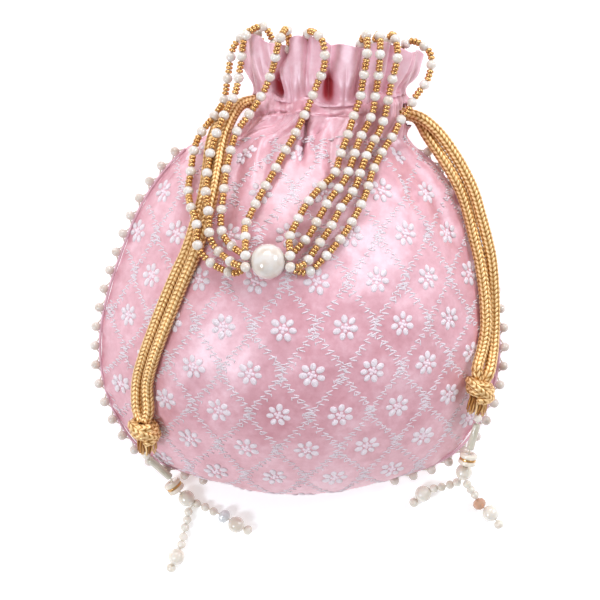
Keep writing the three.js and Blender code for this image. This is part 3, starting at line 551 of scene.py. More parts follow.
# routes of cords and strands
cordRoutes = {
    "left": {
        "side": -1, "channelY": neckY + 9.6, "knot": ((-68, -65.3, 38.8), (-67, -75, 33)),
        "outerLeg": [
            (-70.3, -61.4, 37.7), (-70.1, -48.8, 41.3), (-66.8, -37.4, 47.6), (-62.7, -26.7, 52.7),
            (-58.2, -15.5, 56.4), (-53.3, -4, 58.1), (-48, 7.4, 59.6), (-44.3, 19, 58.4),
            (-41.1, 30.7, 55.8), (-39.4, 42.3, 51.8), (-38, 54, 46.6), (-34.1, 64.5, 38.5),
            (-26.9, 71.7, 29.4)],
        "innerLeg": [
            (-65.7, -62.1, 39.8), (-65.8, -50.3, 43.8), (-63.2, -40.3, 49.9), (-59, -29.2, 55.4),
            (-54.3, -17.7, 59), (-49.4, -5.9, 60.9), (-44.3, 5.7, 62.8), (-40.4, 18.4, 61.7),
            (-37, 30.8, 59.1), (-34.9, 42.9, 54.2), (-33.2, 54.1, 48.6), (-30.1, 63.8, 43),
            (-25.2, 71.5, 35.7)],
    },
    "right": {
        "side": 1, "channelY": neckY + 4, "knot": ((79.4, -47.4, 38.6), (77.7, -57.6, 35.4)),
        "outerLeg": [
            (81.9, -46.1, 38.9), (84.1, -37.2, 34.1), (85, -26.9, 31.4), (85.1, -16.4, 31.1),
            (84.7, -6.2, 31.6), (83.7, 4, 32.8), (81.5, 14, 33.9), (78.8, 23.7, 34.7), (75.8, 33.6, 35.5),
            (71.3, 43.1, 36.2), (65.9, 51.9, 36.5), (60.1, 59.5, 36), (53, 65.4, 34.8)],
        "innerLeg": [
            (77.1, -44.4, 39.9), (79.6, -35.5, 36.3), (81.2, -26.3, 34.9), (81.1, -16.6, 34.5),
            (80.2, -6.7, 34), (78.7, 3.1, 33.6), (76.4, 12.7, 33.4), (74, 22.6, 33.3), (71.1, 32, 33.9),
            (66.9, 40.6, 35.1), (61.7, 49, 35.2), (56.1, 57.6, 32.9), (51.3, 66, 28)],
    },
}
cord = {
    "diameter": 4.8, "spread": 3, "inset": 7.3, "columns": 8, "stitch": 2.0, "relief": 0.38,
    "crown": (-0.13, 0.26),  # the gilt is painted dark (painted shade) under the first and bright (painted highlight) over the second, from the plain radius
    "dip": 6.5,  # how much lower the gathered line lies over the front and back than at the sides
}


def cordPoints(route):
    side, y = route["side"], route["channelY"]
    halfWidth, halfHeight = pouch["neckWidth"] / 2, pouch["neckThickness"] / 2
    run = []
    for degrees in np.linspace(62, 298, 9):
        angle = math.radians(degrees)
        low = y - cord["dip"] * math.sin(angle) ** 2
        run.append((neckX + side * (halfWidth - cord["inset"]) * math.cos(angle), low,
                    neckZ + (halfHeight - cord["inset"]) * math.sin(angle)))
    holeX = neckX + side * (halfWidth - pouch["wall"])
    spread = cord["spread"]
    insideX = holeX - side * 2 * cord["diameter"]
    over, under = ("innerLeg", "outerLeg") if side < 0 else ("outerLeg", "innerLeg")
    # both legs end inside the knot
    top, end = (np.array(p) for p in route["knot"])
    inKnot = top + (end - top) / np.linalg.norm(end - top) * 2.6
    tails = [tuple(inKnot + (np.array(route[leg][0]) - top) * 0.3) for leg in (over, under)]
    points = [tails[0], *route[over], (holeX, y, neckZ + spread), (insideX, y, neckZ + 1.2 * spread), *run,
              (insideX, y, neckZ - 1.2 * spread), (holeX, y, neckZ - spread), *route[under][::-1], tails[1]]
    return over, under, points, (holeX, y, neckZ)


bigPearl = {"place": (-13.2, 2.3, 80), "diameter": 14.8, "bore": 3, "spread": 0.55}
strands = {
    "pearl": 4.3, "bead": 4.55, "gold": 3.25, "pitch": 9.4, "thread": 0.7,
    "routes": [
        {"left": [
            (-12.5, 86.5, 36.5), (-14, 92, 38), (-20, 103.2, 40), (-28, 97, 40.5), (-31, 84, 39.5),
            (-33, 72.5, 39), (-37.5, 65, 43.5), (-43, 57.5, 46.5), (-45.4, 50.8, 48.5), (-46.6, 42, 51),
            (-47.6, 33.7, 54), (-46.5, 26.6, 59.6), (-43.6, 18.7, 65.2), (-43.2, 9.5, 68.6),
            (-38.6, 2.9, 69.2), (-31.8, -1.2, 72), (-26.6, -2.4, 75.2)],
         "right": [
            (39.5, 86.5, 33), (41.5, 91, 33.2), (48, 98.8, 36.8), (56.5, 93.5, 40.5), (56, 83, 41),
            (49.8, 73.6, 42), (46.9, 68, 43), (43.4, 63.4, 44.8), (40.6, 57.6, 46.6), (37.2, 52.5, 49.8),
            (33.4, 46, 54.6), (30.6, 39.5, 59.2), (28.6, 32.5, 62.6), (24.5, 23.5, 67.2),
            (18.4, 13.5, 72), (10, 3.5, 75.4), (2.5, -2.4, 76.4)]},
        {"left": [
            (-8.5, 86.5, 38.5), (-9.5, 92, 40.4), (-15.5, 104.4, 44), (-23, 100.2, 47.4),
            (-25.4, 88, 44.6), (-27.6, 76.5, 43.5), (-31, 69, 46.2), (-34.8, 60, 51.5), (-37.8, 51, 53.6),
            (-39.4, 41.4, 57), (-39.8, 31.4, 62.6), (-38.4, 22.3, 67), (-37.8, 12.6, 68.8),
            (-34.6, 7.2, 69.6), (-30.8, 3.8, 73.4), (-27.4, 1.4, 79)],
         "right": [
            (33.5, 86.5, 37.4), (34.6, 91, 38.8), (40, 100.6, 47), (42, 91, 54), (39.8, 81, 51),
            (38, 71.9, 49), (36.8, 65.8, 48.6), (34.4, 59, 49.6), (30.2, 51.5, 53.8), (26.8, 43.2, 59.2),
            (23.4, 33.5, 63.8), (18, 26, 68), (12.6, 16, 73), (6.6, 7.5, 76.8), (1.6, 0.8, 80.4)]},
        {"left": [
            (-3.5, 86.5, 40.6), (-4, 92, 43.4), (-5.6, 102.6, 50.4), (-8.6, 97, 57), (-11.6, 85.3, 50.5),
            (-15.8, 75.2, 47.5), (-21.4, 66.3, 48.6), (-27, 58.4, 50.8), (-29.8, 48.8, 54.6),
            (-31.4, 40.7, 58.6), (-32.3, 31.1, 63), (-33.2, 23.2, 65), (-33, 15.7, 67),
            (-30.2, 10.6, 69.4), (-26.4, 7.2, 74.4)],
         "right": [
            (28.6, 86.5, 39.4), (29.6, 91, 41.8), (34, 100.4, 51.5), (34.4, 91, 57.4), (33.6, 81, 53.4),
            (32.4, 73, 50.6), (31.6, 67.5, 50.2), (29.4, 62, 51.2), (25.5, 54.5, 54.4), (22.3, 45, 59.4),
            (18.8, 36.5, 63.8), (13, 29, 68.4), (8.2, 20.9, 72), (3.4, 12.5, 75.2)]},
        {"left": [
            (3, 86.5, 41), (3, 92, 43), (4, 101.4, 51), (9.6, 97, 58), (10.6, 86.3, 56),
            (7.6, 78.9, 52.4), (4.9, 72.1, 50.6), (1.5, 64.3, 51.4), (-3.1, 55, 56), (-7.4, 47.6, 59),
            (-10.7, 41.1, 61.8), (-15.7, 32.2, 65.4), (-20.2, 23.5, 68.4), (-22.9, 17, 72),
            (-22.6, 11.8, 78.4)],
         "right": [
            (23, 86.5, 40.6), (24.4, 91, 43), (28.4, 100.4, 53.5), (28.8, 91.7, 58.4), (27.8, 84, 55.8),
            (26.8, 78, 53.4), (26, 72.8, 51.6), (23.6, 66.4, 51.2), (20.4, 56.3, 55.4),
            (17.2, 47.4, 58.8), (14.8, 39.8, 62.6), (9, 34.1, 66.8), (2.9, 26.5, 71), (-1.2, 18.9, 74.6),
            (-4.3, 11.8, 79)]},
    ],
}


def strandPoints(number):
    route = strands["routes"][number]
    across, up = [(-1, -1), (-1, 1), (1, -1), (1, 1)][number]
    x, y, z = bigPearl["place"]
    reach = bigPearl["diameter"] / 2 + 0.5
    bore = [(x + share * reach, y + across * bigPearl["spread"], z + up * bigPearl["spread"])
            for share in (-1, -0.5, 0.5, 1)]
    # the last pearl of each side touches the big one
    apart = strands["pearl"] / 2 + 0.2
    touch = (bigPearl["diameter"] + strands["pearl"]) / 2 + 0.3
    endReach = math.sqrt(touch ** 2 - 2 * apart ** 2)
    ends = [(x + side * endReach, y + across * apart, z + up * apart) for side in (-1, 1)]
    return [*route["left"], ends[0], *bore, ends[1], *route["right"][::-1]], ends


# drawcords
def braidRadius(s, a):
    # foxtail braid: columns of slanting stitches that lean left and right in turn
    column = a * cord["columns"] / (2 * math.pi)
    within = column - np.floor(column)
    lean = np.where(np.floor(column) % 2 == 0, within, 1 - within)
    stitch = np.abs(np.sin(math.pi * (s / cord["stitch"] + 0.75 * lean)))
    crown = (stitch ** 0.6) * np.sin(math.pi * np.clip(within, 0.02, 0.98)) ** 0.4
    return cord["diameter"] / 2 - cord["relief"] * 0.45 + cord["relief"] * 1.35 * crown


def crownShare(distance):
    # how far a place at this distance from the middle stands out of the braid, for the painted shade in its
    # hollows and painted highlight on its crowns
    low, high = cord["crown"]
    return np.clip((distance - cord["diameter"] / 2 - low) / (high - low), 0, 1)


def addCrown(obj, centre):
    points = np.array([v.co[:] for v in obj.data.vertices]) / mm
    tree = pointTree(centre)
    distance = np.array([tree.find(p)[2] for p in points])
    attribute = obj.data.attributes.new("crown", "FLOAT", "POINT")
    attribute.data.foreach_set("value", crownShare(distance).astype(np.float32))


cordLegs = {}
pressing = []  # (path in mm, radius) of what lies on the cloth
for name, route in cordRoutes.items():
    over, under, points, hole = cordPoints(route)
    path, along = evenPath(points, 0.42)
    overCount, underCount = len(route[over]), len(route[under])
    first = np.argmin(np.linalg.norm(path[:len(path) // 2] - np.array(points[overCount + 2]), axis=1))
    half = len(path) // 2
    second = half + np.argmin(np.linalg.norm(path[half:] - np.array(points[-underCount - 3]), axis=1))
    parts = {over: path[:first + 1][::-1], under: path[second:], "channelRun": path[first:second + 1]}
    for part, line in parts.items():
        hidden = part == "channelRun"  # inside the cloth, so it is made coarser
        centre = line[::3] if hidden else line
        obj = tubePiece(f"{name}_cord_{part}", centre, braidRadius, 24 if hidden else 32, giltBraid)
        addCrown(obj, centre)
        if not hidden:
            cordLegs[name, part] = (obj, line, hole)
            pressing.append((line, cord["diameter"] / 2))
        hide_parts(f"{name}_drawcord")
print("drawcords are made")


# beads
def ballShape(diameter, segments, rings, squash=1.0):
    # a ball about the origin whose poles lie on Z
    deselect()
    bpy.ops.mesh.primitive_uv_sphere_add(
        segments=segments, ring_count=rings, radius=diameter / 2 * mm, location=(0, 0, 0))
    return stretched((1, 1, squash))


def ringBeadShape(diameter, length):
    # a seed bead: round ring with a bore along Z
    deselect()
    minor = length / 2 * 0.8
    bpy.ops.mesh.primitive_torus_add(
        major_segments=12, minor_segments=8, major_radius=(diameter / 2 - minor) * mm,
        minor_radius=minor * mm, location=(0, 0, 0))
    return stretched((1, 1, 1.2))


pearlBall = ballShape(strands["bead"], 18, 12, 0.94)
goldRing = ringBeadShape(strands["gold"], 1.65)


def threadCurve(name, path, diameter, material):
    data = bpy.data.curves.new(name, "CURVE")
    data.dimensions = "3D"
    data.bevel_depth = diameter / 2 * mm
    data.bevel_resolution = 2
    data.use_fill_caps = True
    spline = data.splines.new("POLY")
    spline.points.add(len(path) - 1)
    spline.points.foreach_set("co", np.hstack([path * mm, np.ones((len(path), 1))]).ravel())
    data.materials.append(material)
    obj = bpy.data.objects.new(name, data)
    bpy.context.scene.collection.objects.link(obj)
    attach(obj, body)
    return obj


def framesAt(path, along, stops):
    tangent, _, _ = pathFrames(path)
    return [(valuesAt(at, along, path), axesAlong(valuesAt(at, along, tangent))) for at in stops]


for number in range(4):
    points, ends = strandPoints(number)
    path, along = evenPath(points, 0.4)
    leftStop, rightStop = (along[np.argmin(np.linalg.norm(path - np.array(end), axis=1))] for end in ends)
    pitch, reach = strands["pitch"], strands["pearl"] / 2 + 0.2
    stops = [*np.arange(leftStop, reach, -pitch)[::-1], *np.arange(rightStop, along[-1] - reach, pitch)]
    gold = []
    for a, b in zip(stops[:-1], stops[1:]):
        if b - a < pitch * 1.1:
            gap = (b - a - strands["pearl"]) / 3
            gold.extend(a + strands["pearl"] / 2 + gap * (k + 0.5) for k in range(3))
    pearls = copiesPiece(f"strand_{number + 1}_pearls", pearlBall, framesAt(path, along, stops), nacrePearl)
    seeds = copiesPiece(f"strand_{number + 1}_gold", goldRing, framesAt(path, along, gold), giltBead)
    thread = threadCurve(f"strand_{number + 1}_thread", path, strands["thread"], stringThread)
    for obj in (pearls, seeds, thread):
        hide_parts(f"handle_strand_{number + 1}")
    pressing.append((path, strands["pearl"] / 2 - 0.3))
print("handle strands are made")


def boreThrough(obj, bore, length, sides):
    # opens a bore along Z through an object, and gives its arrays
    deselect()
    bpy.ops.mesh.primitive_cylinder_add(vertices=sides, radius=bore / 2 * mm, depth=1.2 * length * mm)
    drill = bpy.context.object
    cut = obj.modifiers.new("bore", "BOOLEAN")
    cut.operation, cut.object, cut.solver = "DIFFERENCE", drill, "EXACT"
    deselect()
    obj.select_set(True)
    bpy.context.view_layer.objects.active = obj
    bpy.ops.object.modifier_apply(modifier="bore")
    bpy.data.objects.remove(drill)
    return shapeArrays(obj)


def boredBall(name, place, diameter, bore, direction, material, segments=48):
    # a ball with its poles opened into a bore along the direction
    deselect()
    bpy.ops.mesh.primitive_uv_sphere_add(
        segments=segments, ring_count=segments // 2, radius=diameter / 2 * mm, location=(0, 0, 0))
    shape = boreThrough(bpy.context.object, bore, diameter, 24)
    return copiesPiece(name, shape, [(np.array(place), axesAlong(direction))], material)


centrePearl = boredBall("centre_pearl_ball", bigPearl["place"], bigPearl["diameter"], bigPearl["bore"],
                        (1, 0, 0), nacrePearl)
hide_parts("centre_pearl")
print("big pearl is made")

# tassels
tasselData = {
    "left": {
        "skirtEnd": (-66.8, -79, 29.5),
        "stemBead": (-67.6, -82, 22.5), "tube": [(-66.4, -84, 19.8), (-57.8, -92.6, 10.9)],
        "discs": (-56, -97, 6.4), "pearl": (-50.6, -102.6, 3.9),
        "first": [
            (-49.8, -108.6, 1.9, "seed"), (-50.4, -112.3, 1.85, "seed"), (-51.4, -116, 1.85, "seed"),
            (-52.1, -119.8, 1.85, "seed"), (-53, -123.5, 1.85, "seed"), (-55, -128.6, 3.55, "pearl"),
            (-57.6, -134, 2.05, "tip")],
        "second": [
            (-45.9, -105.2, 1.9, "seed"), (-42.2, -106.8, 1.85, "seed"), (-38.7, -108.6, 1.85, "seed"),
            (-34, -110.6, 3.1, "crystal"), (-28.4, -114.4, 3.55, "pearl"), (-23.3, -117, 2.05, "tip")],
    },
    "right": {
        "skirtEnd": (77.8, -62.4, 31.4),
        "stemBead": (78.2, -65.6, 27.2), "tube": [(78, -68.4, 25.4), (75.2, -79.6, 21)],
        "discs": (74.4, -84, 18.8), "pearl": (73, -90.2, 13.6),
        "first": [
            (70.2, -95.2, 8.6, "seed"), (67, -96.4, 7, "seed"), (63.6, -97.4, 5.6, "seed"),
            (60.1, -98.2, 4.6, "seed"), (55.4, -100.6, 3.6, "pearl"), (51.4, -104.6, 2.05, "tip")],
        "second": [
            (74.8, -96, 8, "seed"), (76.6, -98.6, 6, "seed"), (78.6, -101.2, 4.2, "seed"),
            (80.8, -105.4, 3.2, "peach"), (85.8, -109.4, 3.55, "pearl"), (89.4, -114.4, 2.05, "tip")],
    },
}
tasselSizes = {
    "knot": 12.6, "knotBraid": 0.84, "wraps": 2.2, "skirt": 6, "frays": 46, "fray": (0.5, 0.34),
    "thread": 0.7, "tube": 3.3, "disc": 8, "discBand": 1.1, "discThickness": 2, "discBore": 1.8,
    "pearl": 7.3, "seed": 3.95, "tip": 4.4, "crystal": 6.7, "peach": 6.5,
}


strandUp = (0.3, 0.2, 0.93)  # no strand runs along it, so its rings stay steady


def tubeShape(path, radius):
    # closed tube as arrays, for picots and frayed ends
    sides = 6
    _, a = tubeGrid(path, sides)
    ring = tubeRings(path, np.broadcast_to(radius, len(path))[:, None], a, strandUp)
    return ring.reshape(-1, 3), cappedFaces(len(path), sides)


def braidShape(path, thickness):
    # a run of the same foxtail braid as the drawcords, as arrays with how far each point stands out
    sides = 28
    s, a = tubeGrid(path, sides)
    radius = braidRadius(s, a)
    fade = np.minimum(1, 0.55 + 0.45 * np.minimum(s, s[-1] - s) / 1.5)
    ring = tubeRings(path, radius * thickness * fade, a, strandUp)
    return ring.reshape(-1, 3), cappedFaces(len(path), sides), crownShare(radius).ravel()


def frayedEnds(radius, length):
    # threads that fan out below a knot, as arrays, with one crown value for each thread
    source = np.random.default_rng(3)
    shapes, crowns = [], []
    for k in range(tasselSizes["frays"]):
        angle = 2 * math.pi * k / tasselSizes["frays"] + source.uniform(-0.12, 0.12)
        start, flare = radius * source.uniform(0.25, 0.62), radius * source.uniform(0.2, 0.68)
        drop = tasselSizes["skirt"] * source.uniform(0.55, 1.1)
        curl = source.uniform(-0.35, 0.35)
        bow = (start + flare) / 2 * 1.1
        line = [(start * math.cos(angle), start * math.sin(angle), length - 2),
                (bow * math.cos(angle), bow * math.sin(angle), length + drop * 0.4),
                (flare * math.cos(angle + curl), flare * math.sin(angle + curl), length + drop)]
        shape = tubeShape(splineSample(line, np.linspace(0, 1, 7)), np.linspace(*tasselSizes["fray"], 7))
        shapes.append(shape)
        crowns.append(np.full(len(shape[0]), source.uniform(0.15, 0.95)))
    return shapes, crowns


def knotPiece(name, ends):
    # the braid wound and tucked round the joined legs, and its frayed gilt ends below
    top, end = (np.array(p) for p in ends)
    axes = axesAlong(end - top)
    length = np.linalg.norm(end - top)
    radius = tasselSizes["knot"] / 2
    reach = radius - tasselSizes["knotBraid"] * cord["diameter"] / 2
    wrap = np.linspace(0, 1, 260)
    spin = 2 * math.pi * tasselSizes["wraps"] * wrap + 0.6
    coil = np.stack([reach * np.cos(spin), reach * np.sin(spin),
                     2 + (length - 4.2) * wrap + 0.7 * np.sin(spin + 1)], 1)
    over = np.linspace(-0.25, 1.25, 120) * math.pi
    tuck = np.stack([(reach + 0.9) * np.cos(over) * 0.95, (reach + 0.7) * np.sin(over),
                     length / 2 + 3.2 * np.cos(over + 0.4)], 1)
    shapes, crowns = [], []
    for line in (coil, tuck):
        path, _ = evenPath(line[::6], 0.36)
        *shape, crown = braidShape(path, tasselSizes["knotBraid"])
        shapes.append(shape)
        crowns.append(crown)
    core = ballShape(2 * radius - 4.6, 20, 14, 1.2)
    shapes.append((core[0] + (0, 0, length / 2 + 0.6), core[1]))
    # the core ball is painted dark: painted shade between the wraps
    crowns.append(np.full(len(core[0]), 0.1))
    threads, threadCrowns = frayedEnds(radius, length)
    shapes.extend(threads)
    crowns.extend(threadCrowns)
    points, faces = joinShapes(shapes)
    points = points @ axes.T + top
    obj = meshPiece(f"{name}_knot_wraps", points, faces, giltBraid, uv=points[:, :2] / 2,
                    attributes={"crown": np.concatenate(crowns)})
    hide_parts(f"{name}_knot")
    return obj


def barrelShape(diameter, length, rounding, bore=0.9):
    # straight bead with rounded shoulders and a bore along Z
    deselect()
    bpy.ops.mesh.primitive_cylinder_add(vertices=24, radius=diameter / 2 * mm, depth=length * mm)
    obj = bpy.context.object
    bevel = obj.modifiers.new("shoulder", "BEVEL")
    bevel.width, bevel.segments, bevel.limit_method = rounding * mm, 4, "ANGLE"
    bpy.ops.object.modifier_apply(modifier="shoulder")
    return boreThrough(obj, bore, length, 12)


def facetedShape(diameter, length):
    # cut-glass bead: small triangular facets all over, a little shorter than wide
    deselect()
    bpy.ops.mesh.primitive_ico_sphere_add(subdivisions=2, radius=diameter / 2 * mm)
    return stretched((0.94, 0.94, length / diameter))


beadShapes = {
    "seed": ballShape(tasselSizes["seed"], 16, 10, 0.95), "pearl": ballShape(tasselSizes["pearl"], 28, 18),
    "tip": ballShape(tasselSizes["tip"], 16, 10, 0.9),
    "crystal": facetedShape(tasselSizes["crystal"], 5), "peach": facetedShape(tasselSizes["peach"], 5.4),
}
beadMaterials = {
    "seed": shellPearl, "pearl": shellPearl, "tip": shellPearl, "crystal": crystalGlass, "peach": peachGlass,
}
for name, data in tasselData.items():
    knot = knotPiece(name, cordRoutes[name]["knot"])
    tubeStart, tubeEnd = (np.array(p) for p in data["tube"])
    discs, pearl = np.array(data["discs"]), np.array(data["pearl"])
    tube = copiesPiece(
        f"{name}_tube_glass",
        barrelShape(tasselSizes["tube"], np.linalg.norm(tubeEnd - tubeStart), 0.5),
        [((tubeStart + tubeEnd) / 2, axesAlong(tubeEnd - tubeStart))], clearGlass)
    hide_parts(f"{name}_tube_bead")
    axes = axesAlong((pearl - tubeEnd) * (1, 1, 0.45))
    step = (tasselSizes["discBand"] + tasselSizes["discThickness"]) / 2
    discShape = barrelShape(tasselSizes["disc"], tasselSizes["discThickness"], 0.7, tasselSizes["discBore"])
    bandShape = barrelShape(
        tasselSizes["disc"] * 0.93, tasselSizes["discBand"], 0.3, tasselSizes["discBore"])
    creamFrames = [(discs + side * step * axes[:, 2], axes) for side in (-1, 1)]
    creamDiscs = copiesPiece(f"{name}_disc_creams", discShape, creamFrames, creamBead)
    band = copiesPiece(f"{name}_disc_band", bandShape, [(discs, axes)], giltBead)
    for obj in (creamDiscs, band):
        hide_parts(f"{name}_discs")
    ballAxis = pearl - discs
    ball = boredBall(f"{name}_tassel_ball", pearl, tasselSizes["pearl"], 1.5, ballAxis, shellPearl, 32)
    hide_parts(f"{name}_tassel_pearl")
    unit = ballAxis / np.linalg.norm(ballAxis)
    ballEnd = pearl + unit * (tasselSizes["pearl"] / 2 + 0.2)
    for key, node in (("first", "first_string"), ("second", "second_string")):
        stops = [(np.array(p[:3]), p[3]) for p in data[key]]
        lastStep = stops[-1][0] - stops[-2][0]
        strung = [*(p for p, _ in stops), stops[-1][0] + lastStep / np.linalg.norm(lastStep) * 1.9]
        if key == "first":
            stops.insert(0, (np.array(data["stemBead"]), "seed"))
            route = [data["skirtEnd"], data["stemBead"], *data["tube"], discs, pearl, ballEnd, *strung]
        else:
            # the second thread is drawn through the pearl too, so it starts inside the pearl
            route = [pearl + (0.5, 0, 0), ballEnd + (1.1, 0, 0), *strung]
        path, distance = evenPath(route, 0.6)
        thread = threadCurve(f"{name}_{node}_thread", path, tasselSizes["thread"], stringThread)
        for kind in beadShapes:
            places = [p for p, k in stops if k == kind]
            if not places:
                continue
            at = [distance[np.argmin(np.linalg.norm(path - p, axis=1))] for p in places]
            obj = copiesPiece(f"{name}_{node}_{kind}", beadShapes[kind], framesAt(path, distance, at),
                              beadMaterials[kind])
            if kind in ("crystal", "peach"):
                obj.data.polygons.foreach_set("use_smooth", [False] * len(obj.data.polygons))
            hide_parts(f"{name}_{node}")
        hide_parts(f"{name}_{node}")
    for part in ("outerLeg", "innerLeg"):
        obj, line, hole = cordLegs[name, part]
print("tassels are made")

# pouch cloth
folds = {
    "pleats": 11, "pleatDepth": 2.3, "reach": 46, "wrinkle": 0.45, "pucker": 0.55, "puckerPitch": 8.7,
    "longFold": 0.8, "gather": 0.8, "grain": 0.12, "creaseSway": 1.2, "lineSway": 1.6,
    "endStation": 13.08, "puff": 2.6, "tuckIn": 4.2, "deepest": 3.1, "holeWide": 5, "holeHigh": 6.6,
    # lines of the creases on the front from the gathered neck down: from x, y to x, y, width and depth
    "creases": [
        (1.8, 66, 2.2, 46, 1.0, 5.5), (-25, 62, -34, 10, 3.2, 1.7), (40, 60, 55, 22, 3.0, 1.8),
        (-10, 62, -16, 30, 2.0, 1.4), (16, 64, 13, 36, 1.8, 1.6), (27, 62, 33, 26, 2.4, 1.5),
        (50, 48, 68, 8, 3.2, 1.5), (-38, 50, -52, 12, 2.6, 1.5), (9, 62, 6, 50, 1.2, 1.6),
        (-19, 63, 4, 76, 1.5, 2.4), (8, 68, 22, 76, 1.3, 2.0), (-28, 58, -12, 70, 1.4, 1.6)],
}
pressPoints = np.vstack([line for line, _ in pressing])
pressRadius = np.concatenate([np.full(len(line), radius) for line, radius in pressing])
pressTree = pointTree(pressPoints)


def pressedUnder(points, normals, clearance=0.35, blend=2.2):
    # cloth gives way under cords and beads: it is pushed in where one would touch it; near the table
    # and far from all of them there is nothing to test
    lowest, farthest = 10, 9
    push = np.zeros(points.shape[:2])
    for place in np.ndindex(push.shape):
        if points[place][2] < lowest:
            continue
        _, index, distance = pressTree.find(points[place])
        gap = distance - pressRadius[index] - clearance
        if distance <= farthest and gap < blend:
            push[place] = (blend - gap) ** 2 / (4 * blend) if gap > -blend else -gap
    return points - normals * push[..., None]


def neckDip(station, turn):
    # the gathered line lies lower over the front and back than at the sides
    return cord["dip"] * np.sin(turn)[None] ** 2 * smoothStep(station, 12, 12.8)[:, None]


def pouchSurface(station, turn):
    grid = clothGrid(station, turn)
    normal = gridNormals(grid)
    x, y, z = np.moveaxis(grid, -1, 0)
    a = np.broadcast_to(turn[None], x.shape)
    high = np.broadcast_to(station[:, None], x.shape)
    depth = neckY - y  # mm below the neck
    near = 1 - smoothStep(depth, -2, folds["reach"])
    phase = folds["pleats"] * a + 1.3 * np.sin(2.3 * a + 0.6) + 0.9 * np.sin(5.1 * a + 2)
    ridge = np.abs(np.sin(phase)) ** 0.7 - 0.75
    longer = np.sin(0.5 * phase + 1.1) * (1 - smoothStep(depth, 20, 1.9 * folds["reach"]))
    offset = folds["pleatDepth"] * near ** 1.4 * ridge * (0.75 + 0.4 * np.sin(1.7 * phase + 0.3))
    offset += folds["longFold"] * longer * smoothStep(depth, -2, 12)
    fine = np.abs(np.sin(2.3 * phase + 0.7)) ** 0.6 - 0.7
    offset += folds["gather"] * fine * smoothStep(high, 10.6, 12)
    puff = smoothStep(high, 11.2, 12.35) * (1 - smoothStep(high, 12.6, folds["endStation"]))
    sway = np.sin(0.62 * phase + 2)
    offset += folds["puff"] * puff * (0.7 + 0.6 * sway + 0.3 * waves(x, y, 21, low=0.1, high=0.3))
    beside = np.abs(np.sin(a))
    tuck = folds["tuckIn"] * (0.3 + 0.7 * beside)
    offset -= tuck * smoothStep(high, 12.65, folds["endStation"]) ** 1.5
    offset += folds["wrinkle"] * waves(x, y, 5, low=0.08, high=0.3) * smoothStep(z, 6, 16)
    offset += folds["grain"] * waves(x, y, 8, count=14, low=0.35, high=1.1) * smoothStep(z, 4, 10)
    edge = np.exp(-(beside / 0.3) ** 2) * smoothStep(beside, 0.02, 0.14) * (1 - smoothStep(high, 10.5, 11.5))
    offset += folds["pucker"] * edge * np.cos(2 * math.pi * y / folds["puckerPitch"]) * smoothStep(z, 2, 9)
    front = smoothStep(np.sin(a), 0.05, 0.3)
    for x0, y0, x1, y1, width, cut in folds["creases"]:
        dx, dy = x1 - x0, y1 - y0
        length = math.hypot(dx, dy)
        share = ((x - x0) * dx + (y - y0) * dy) / length ** 2
        away = ((x - x0) * dy - (y - y0) * dx) / length + folds["creaseSway"] * np.sin(3 * share + x0)
        fade = smoothStep(share, -0.15, 0.2) * (1 - smoothStep(share, 0.65, 1.1))
        ridgeBeside = 0.45 * np.exp(-((away - 2.2 * width) / width) ** 2)
        offset -= cut * front * fade * (np.exp(-(away / width) ** 2) - ridgeBeside)
    deepest = folds["deepest"] + 6 * (1 - smoothStep(high, 11, 11.8))
    grid = grid + normal * np.maximum(offset, -deepest)[..., None]
    grid[..., 1] -= neckDip(station, turn)
    grid[..., 1] += folds["lineSway"] * sway * beside * smoothStep(high, 12.1, 13)
    return grid, normal


rowCount, columnCount = 136, 344
stationList = folds["endStation"] * np.linspace(0, 1, rowCount) ** 0.9
stationList[0] = 0.015
turnList = np.linspace(0, 2 * math.pi, columnCount, endpoint=False)
surface, normals = pouchSurface(stationList, turnList)
surface = pressedUnder(surface, normals)
surface[..., 2] = np.maximum(surface[..., 2], 0)


def holeWalls(hole, columnTotal, count):
    # faces between outer and inner cloth round the quads that are left out
    faces = []
    for i, j in zip(*np.nonzero(hole)):
        n, m = (j + 1) % columnTotal, (j - 1) % columnTotal
        row, after = i * columnTotal, (i + 1) * columnTotal
        corners = [row + j, row + n, after + n, after + j]
        openSides = [hole[i - 1, j], hole[i, n], hole[i + 1, j], hole[i, m]]
        for side, isOpen in enumerate(openSides):
            if not isOpen:
                p, q = corners[side], corners[(side + 1) % 4]
                faces.append([count + q, count + p, p, q])
    return faces


def clothShell(name, outer, inner, material, bottom, attributes=None, hole=None):
    # outer and inner grids of the same rows and columns, closed at the last row, and at the first by
    # walls or, with two bottom points, by fans
    rowTotal, columnTotal = outer.shape[:2]
    count = rowTotal * columnTotal
    points = [outer.reshape(-1, 3), inner.reshape(-1, 3)]
    faces = gridFaces(rowTotal, columnTotal, 0, True) + gridFaces(rowTotal, columnTotal, count)
    if hole is not None:
        kept = ~np.concatenate([hole.ravel(), hole.ravel()])
        faces = [face for face, keep in zip(faces, kept) if keep] + holeWalls(hole, columnTotal, count)
    lastRow = (rowTotal - 1) * columnTotal
    for j in range(columnTotal):
        n = (j + 1) % columnTotal
        faces.append([count + lastRow + j, count + lastRow + n, lastRow + n, lastRow + j])
        if bottom is None:
            faces.append([j, n, count + n, count + j])
        else:
            faces.append([j, n, 2 * count])
            faces.append([2 * count + 1, count + n, count + j])
    if bottom is not None:
        points.append(np.array(bottom))
    return meshPiece(name, np.vstack(points), faces, material, attributes=attributes)


